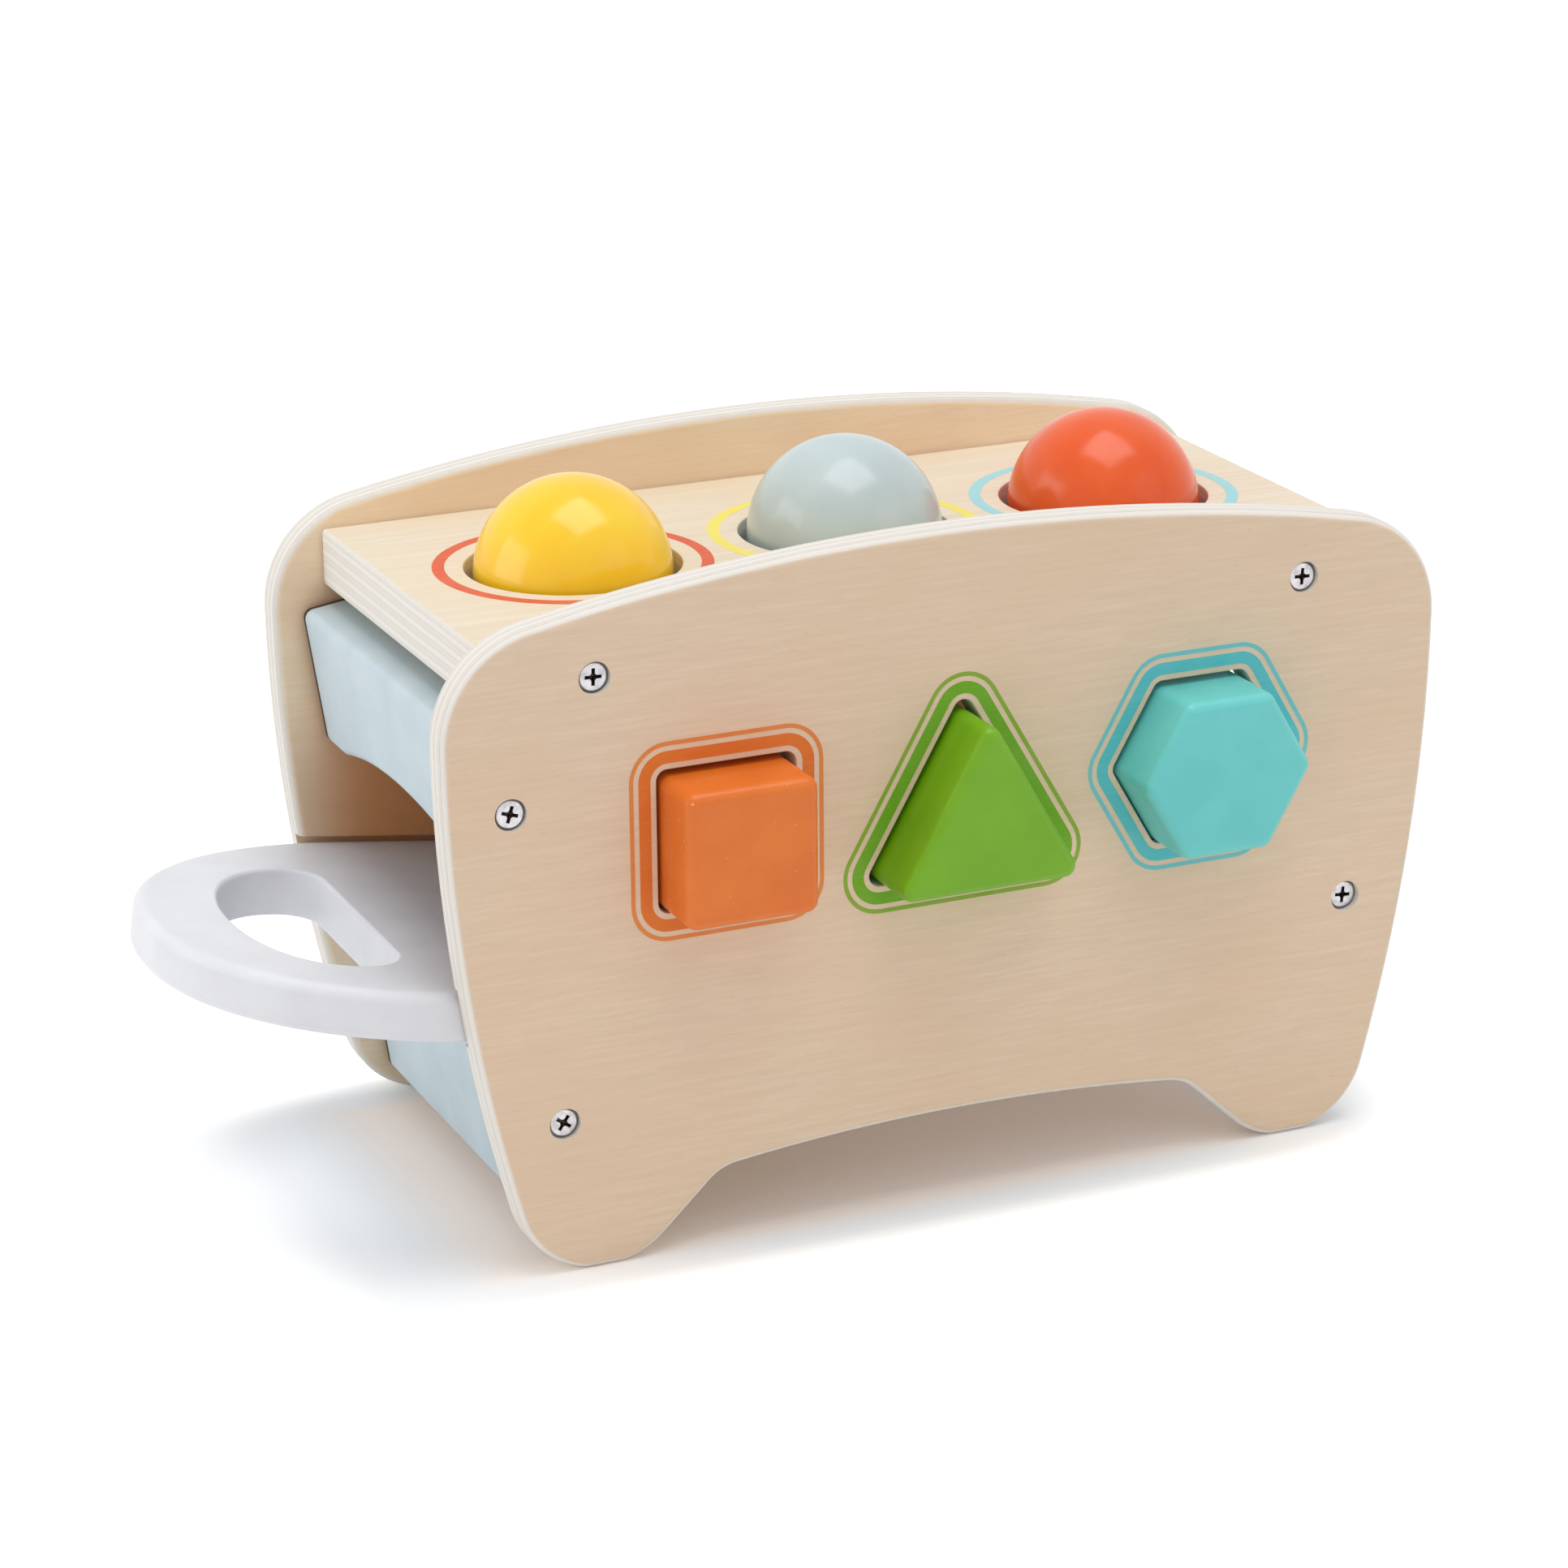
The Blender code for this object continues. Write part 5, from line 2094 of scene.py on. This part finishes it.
@dataclass
class FeltStrips:
    """Two strips of wool felt under the bars' still points."""

    bench: BenchAxes
    axes: TrayAxes
    layout: BarLayout
    width: float = 0.008
    thickness: float = 0.003
    overhang: float = 0.003
    clearance: float = 0.0003
    fuzz: float = 0.00012
    hole_radius: float = 0.0015
    cells: tuple[int, int, int] = (120, 6, 3)
    seed: int = 7
    punch_steps: int = 16
    shaded: float = 60

    def build(self) -> None:
        """Cut and fluff one strip, copy it to both sides and punch the copies."""
        places = self.layout.places()
        wide, narrow = places[0].pins, places[-1].pins
        run = places[-1].along - places[0].along
        angle = atan2(wide - narrow, run)
        half = (run / cos(angle) + self.layout.width) / 2 + self.overhang
        middle = (places[0].along + places[-1].along) / 2
        blank = self.strip(half)
        for side in Side:
            name = "felt_strip_" + side.word()
            spot = Matrix.Translation((middle, side.value * (wide + narrow) / 2, 0))
            turn = Matrix.Rotation(-side.value * angle, 4, "Z")
            strip = copy_piece(blank, name + "_wool", self.axes.matrix(self.bench) @ spot @ turn)
            self.punch(strip, [place.pin(side) for place in places])
            smooth(strip, self.shaded)
            felt = WoolFelt(name="pressed_wool_felt", slope=self.axes.slope)
            dress(strip, felt, "tray", [name])
        discard(blank)

    def strip(self, half: float) -> bpy.types.Object:
        """Divide a strip finely and shift its surface a little, like cut felt.

        Args:
            half: Half its length.

        Returns:
            The strip about the tray's mark.
        """
        side = self.width / 2 - self.fuzz
        low = Vector((-half + self.fuzz, -side, self.clearance + self.fuzz))
        high = Vector((half - self.fuzz, side, self.clearance + self.thickness - self.fuzz))
        strip = block_out("felt_blank", low, high)
        open_mesh(strip)
        for axis, cells in enumerate(self.cells):
            step = (high[axis] - low[axis]) / cells
            for number in range(1, cells):
                bpy.ops.mesh.select_all(action="SELECT")
                point, normal = [0.0, 0.0, 0.0], [0.0, 0.0, 0.0]
                point[axis] = low[axis] + number * step
                normal[axis] = 1.0
                bpy.ops.mesh.bisect(plane_co=point, plane_no=normal)
        bpy.ops.mesh.select_all(action="SELECT")
        bpy.ops.transform.vertex_random(offset=self.fuzz, uniform=1.0, normal=0.0, seed=self.seed)
        close_mesh()
        return strip

    def punch(self, strip: bpy.types.Object, spots: Sequence[Matrix]) -> None:
        """Punch the pins' holes.

        Args:
            strip: The strip, in its place.
            spots: The pins' places in the tray's axes.
        """
        high, radius = self.thickness + CUT_OVERRUN, self.hole_radius
        profile = [(0.0, high), (radius, high), (radius, -CUT_OVERRUN), (0.0, -CUT_OVERRUN)]
        punch = turn_profile("felt_punch", profile, self.punch_steps)
        for spot in spots:
            carve(strip, copy_piece(punch, "felt_punch_copy", self.axes.matrix(self.bench) @ spot))
        discard(punch)


@dataclass
class ScrewSet:
    """Countersunk cross-head screws, five in each side panel."""

    bench: BenchAxes
    face: float = 0.0675
    head_radius: float = 0.0035
    head_edge: float = 0.00025
    head_bevel: float = 0.0003
    head_round: float = 0.0001
    shank_radius: float = 0.00175
    length: float = 0.028
    tip: float = 0.004
    thread_pitch: float = 0.0016
    thread_depth: float = 0.00035
    slot_half_length: float = 0.00215
    slot_half_width: float = 0.00045
    slot_centre: float = 0.00095
    slot_depth: float = 0.0018
    slot_taper: float = 0.75
    slot_deepest: float = 1.2
    recess_margin: float = 0.0003
    recess_top: float = 0.00003
    recess_reach: float = 0.0002
    steps: int = 40
    cone_steps: int = 24
    shaded: float = 35

    def build(self) -> None:
        """Turn one screw, cut its cross and copy it to every place."""
        screw = self.screw()
        for side in Side:
            for spot in SCREW_SPOTS:
                name = side.word() + "_screw_" + spot.word
                place = Matrix.Translation((spot.x, side.value * (self.face - spot.sink), spot.z))
                turn = Matrix.Rotation(-side.value * pi / 2, 4, "X")
                twist = Matrix.Rotation(radians(spot.turn(side)), 4, "Z")
                seated = self.bench.matrix() @ place @ turn @ twist
                made = copy_piece(screw, name + "_steel", seated)
                dress(made, ZincPlating(name="zinc_plated_steel"), "bench", [name])
                self.darken_recess(made, screw)
        discard(screw)

    def screw(self) -> bpy.types.Object:
        """Turn the head and the ribbed shank, and cut the cross.

        Returns:
            The screw, its head's face at the origin and its point down.
        """
        head = self.head_radius
        cone = head - self.shank_radius
        profile = [
            (0.0, 0.0),
            (head - self.head_bevel, 0.0),
            (head - self.head_round, -self.head_round),
            (head, -self.head_edge),
            (self.shank_radius, -cone),
        ]
        depth = -cone - 2 * self.thread_pitch
        core = self.shank_radius - self.thread_depth
        while depth > -self.length + self.tip:
            profile += [(core, depth), (self.shank_radius, depth - self.thread_pitch / 2)]
            depth -= self.thread_pitch
        profile += [(core, -self.length + self.tip), (0.0, -self.length)]
        screw = turn_profile("cross_head_screw", profile, self.steps)
        carve(screw, *self.cross())
        smooth(screw, self.shaded)
        return screw

    def cross(self) -> list[bpy.types.Object]:
        """Make what cuts the cross: two tapered bars and a cone in the middle.

        Returns:
            The three cutters.
        """
        cutters = []
        for name, half_x, half_y in (
            ("cross_bar_along", self.slot_half_length, self.slot_half_width),
            ("cross_bar_across", self.slot_half_width, self.slot_half_length),
        ):
            low = Vector((-half_x, -half_y, -self.slot_depth))
            high = Vector((half_x, half_y, MERGE_DISTANCE))
            bar = block_out(name, low, high)
            open_mesh(bar)
            bpy.ops.mesh.select_mode(type="VERT")
            bpy.ops.mesh.select_all(action="DESELECT")
            shell = bmesh.from_edit_mesh(bar.data)
            for vertex in shell.verts:
                vertex.select_set(vertex.co.z < 0)
            bmesh.update_edit_mesh(bar.data)
            taper = (self.slot_taper, self.slot_taper, 1)
            bpy.ops.transform.resize(value=taper, center_override=(0, 0, -self.slot_depth))
            close_mesh()
            cutters.append(bar)
        radius, above = self.slot_centre, CUT_OVERRUN
        tip = -self.slot_depth * self.slot_deepest
        profile = [(0.0, above), (radius, above), (radius, 0.0), (0.0, tip)]
        cutters.append(turn_profile("cross_centre", profile, self.cone_steps))
        return cutters

    def darken_recess(self, made: bpy.types.Object, screw: bpy.types.Object) -> None:
        """Give the walls of the cross a dark brown-grey: painted shade inside the recess.

        Args:
            made: The seated screw.
            screw: The screw it was copied from, still about Z.
        """
        # Painted shade: a dark copy of the plating for the shade inside the cross
        recess_shade = ZincPlating(
            name="dull_plating_in_the_cross",
            colours=("4A4441", "57504C", "6A625D"),
            roughness=(0.5, 0.65),
        )
        made.data.materials.append(recess_shade.material())
        for face, model in zip(made.data.polygons, screw.data.polygons):
            height = model.center.z
            out = model.center.to_2d().length
            reach = min(
                self.head_radius + height - self.recess_margin,
                self.slot_half_length + self.recess_reach,
            )
            deep_enough = -self.slot_deepest * self.slot_depth < height < -self.recess_top
            if deep_enough and out < reach:
                face.material_index = 1


# The studio


@dataclass(frozen=True)
class Softbox:
    """A square lamp, its width and its power in watts."""

    name: str
    place: tuple[float, float, float]
    size: float
    power: float


@dataclass
class Studio:
    """A white floor with a painted warm glow under the bench, three soft lamps and the photograph's
    viewpoint.
    """

    camera_place: tuple[float, float, float] = (-0.434486, -0.99989, 0.47403)
    azimuth: float = radians(-23.803)
    elevation: float = radians(19.118)
    roll: float = radians(-0.56)
    lens: float = 103.81
    sensor: float = 36.0
    nearest_seen: float = 0.01
    aim: tuple[float, float, float] = (0.03, 0, 0.08)
    softboxes: tuple[Softbox, ...] = (
        Softbox("softbox_overhead", place=(0.12, -0.2, 1.95), size=1.3, power=17.0),
        Softbox("softbox_at_left", place=(-1.9, 0.4, 0.55), size=1.4, power=11.5),
        Softbox("softbox_in_front", place=(1.4, -2.0, 1.2), size=1.6, power=3.5),
    )
    floor_half: float = 8.0
    floor_colour: str = "F4F4F4"
    sky: float = 0.60
    sky_colour: str = "F6F7FA"
    shade_shift: tuple[float, float] = (-0.019, -0.008)
    shade_half: tuple[float, float] = (0.101, 0.057)
    shade_stretch: float = 2.8
    # Glow of the floor for camera and gloss, by distance outside the feet: warm painted bounce
    # light under the bench, a low glow beside it that keeps the shadow, white further out
    lifts: tuple[tuple[float, str], ...] = (
        (0.0, "73583C"), (0.014, "585A5C"), (0.03, "626466"), (0.065, "BCBCBC"),
    )

    def build(self) -> None:
        """Set up the view settings, floor, world, lamps and camera."""
        bpy.context.scene.view_settings.view_transform = "Standard"
        self.floor()
        self.world()
        for softbox in self.softboxes:
            self.hang(softbox)
        self.camera()

    def floor(self) -> None:
        """Lay a floor that reads as white to the camera, still takes the object's shadow, and glows
        warm under the bench as painted bounce light.
        """
        nothing_selected()
        bpy.ops.mesh.primitive_plane_add(size=2 * self.floor_half, location=(0, 0, 0))
        floor = bpy.context.object
        floor.name = "studio_floor"
        finish = bpy.data.materials.new("matt_white_floor")
        finish.use_nodes = True
        tree = finish.node_tree
        tree.nodes.clear()
        diffuse = add_node(tree, "BsdfDiffuse", {"Color": linear(self.floor_colour)})
        # Painted light: the floor glows warm under the bench and white further out
        lift = add_node(tree, "ValToRGB", [self.distance_from_bench(tree)], stops=self.lifts)
        glow = add_node(tree, "Emission", [lift])
        camera = add_node(tree, "LightPath", output="Is Camera Ray")
        glossy = add_node(tree, "LightPath", output="Is Glossy Ray")
        seen = add_node(tree, "Math", [camera, glossy], operation="MAXIMUM")
        shown = add_node(tree, "AddShader", [diffuse, glow])
        add_node(tree, "OutputMaterial", [add_node(tree, "MixShader", [seen, diffuse, shown])])
        floor.data.materials.append(finish)

    def distance_from_bench(self, tree: bpy.types.NodeTree) -> bpy.types.NodeSocket:
        """Measure how far a spot of the floor is outside the bench's feet.

        Distances in front and behind count more than those at the ends.

        Args:
            tree: The floor's tree.

        Returns:
            The distance in metres, zero below the bench.
        """
        axes = BenchAxes.from_model()
        centre = (axes.x + self.shade_shift[0], axes.y + self.shade_shift[1], 0)
        place = add_node(tree, "TexCoord", output="Object")
        place = add_node(tree, "VectorMath", [place, centre], operation="SUBTRACT")
        place = add_node(tree, "VectorMath", [place], operation="ABSOLUTE")
        place = add_node(tree, "VectorMath", [place, (*self.shade_half, 0)], operation="SUBTRACT")
        place = add_node(tree, "VectorMath", [place, (0, 0, 0)], operation="MAXIMUM")
        stretch = (1, self.shade_stretch, 0)
        place = add_node(tree, "VectorMath", [place, stretch], operation="MULTIPLY")
        return add_node(tree, "VectorMath", [place], "Value", operation="LENGTH")

    def world(self) -> None:
        """Give an even sky that the camera, gloss and glass see as white."""
        world = bpy.data.worlds.new("studio_world")
        world.use_nodes = True
        bpy.context.scene.world = world
        tree = world.node_tree
        tree.nodes.clear()
        seen = add_node(tree, "LightPath", output="Is Camera Ray")
        for ray in ("Is Glossy Ray", "Is Transmission Ray"):
            other = add_node(tree, "LightPath", output=ray)
            seen = add_node(tree, "Math", [seen, other], operation="MAXIMUM")
        glow = {"Color": linear(self.sky_colour), "Strength": self.sky}
        glow = add_node(tree, "Background", glow)
        white = add_node(tree, "Background", {"Color": linear("FFFFFF"), "Strength": 1.0})
        add_node(tree, "OutputWorld", [add_node(tree, "MixShader", [seen, glow, white])])

    def hang(self, softbox: Softbox) -> None:
        """Hang a lamp and point it at the bench.

        Args:
            softbox: The lamp.
        """
        light = bpy.data.lights.new(softbox.name, "AREA")
        light.size = softbox.size
        light.energy = softbox.power
        lamp = bpy.data.objects.new(softbox.name, light)
        lamp.location = softbox.place
        away = Vector(softbox.place) - Vector(self.aim)
        lamp.rotation_euler = away.to_track_quat("Z", "Y").to_euler()
        bpy.context.scene.collection.objects.link(lamp)

    def camera(self) -> None:
        """Stand the camera where the photograph was taken."""
        data = bpy.data.cameras.new("photograph_view")
        data.lens = self.lens
        data.sensor_width = self.sensor
        data.sensor_height = self.sensor
        data.sensor_fit = "HORIZONTAL"
        data.clip_start = self.nearest_seen
        camera = bpy.data.objects.new("photograph_view", data)
        back = Vector((
            sin(self.azimuth) * cos(self.elevation),
            -cos(self.azimuth) * cos(self.elevation),
            sin(self.elevation),
        ))
        right = Vector((cos(self.azimuth), sin(self.azimuth), 0))
        up = back.cross(right)
        right_rolled = cos(self.roll) * right + sin(self.roll) * up
        up_rolled = -sin(self.roll) * right + cos(self.roll) * up
        turn = Matrix((right_rolled, up_rolled, back)).transposed().to_4x4()
        camera.matrix_world = Matrix.Translation(self.camera_place) @ turn
        bpy.context.scene.collection.objects.link(camera)
        bpy.context.scene.camera = camera


def main() -> None:
    """Build the sub-assemblies in order, and note the size of the finished model."""
    logging.basicConfig(level=logging.INFO, format="%(name)s: %(message)s")
    nothing_selected()
    Studio().build()
    bench = BenchAxes.from_model()
    tray = TrayAxes()
    layout = BarLayout()
    sub_assemblies = (
        SidePanels(bench, tray),
        PrintedLines(bench),
        TopBoard(bench),
        BallSet(bench),
        BlockSet(bench),
        EndBoard(
            "left_upper_end_board", bench, x=-0.1174, z=0.1203, end=End.LEFT,
            down=0.0182, up=0.0188, arch=ExitArch(),
        ),
        EndBoard(
            "left_lower_end_board", bench, x=-0.1058, z=0.0394, end=End.LEFT,
            down=0.0311, up=0.0164,
        ),
        EndBoard(
            "right_end_board", bench, x=0.1104, z=0.0636, end=End.RIGHT,
            down=0.0200, up=0.0220,
        ),
        Tray(bench, tray, layout),
        XylophoneBars(bench, tray, layout),
        FeltStrips(bench, tray, layout),
        ScrewSet(bench),
    )
    for sub_assembly in sub_assemblies:
        sub_assembly.build()
    bpy.context.view_layer.update()


if __name__ == "__main__":
    main()
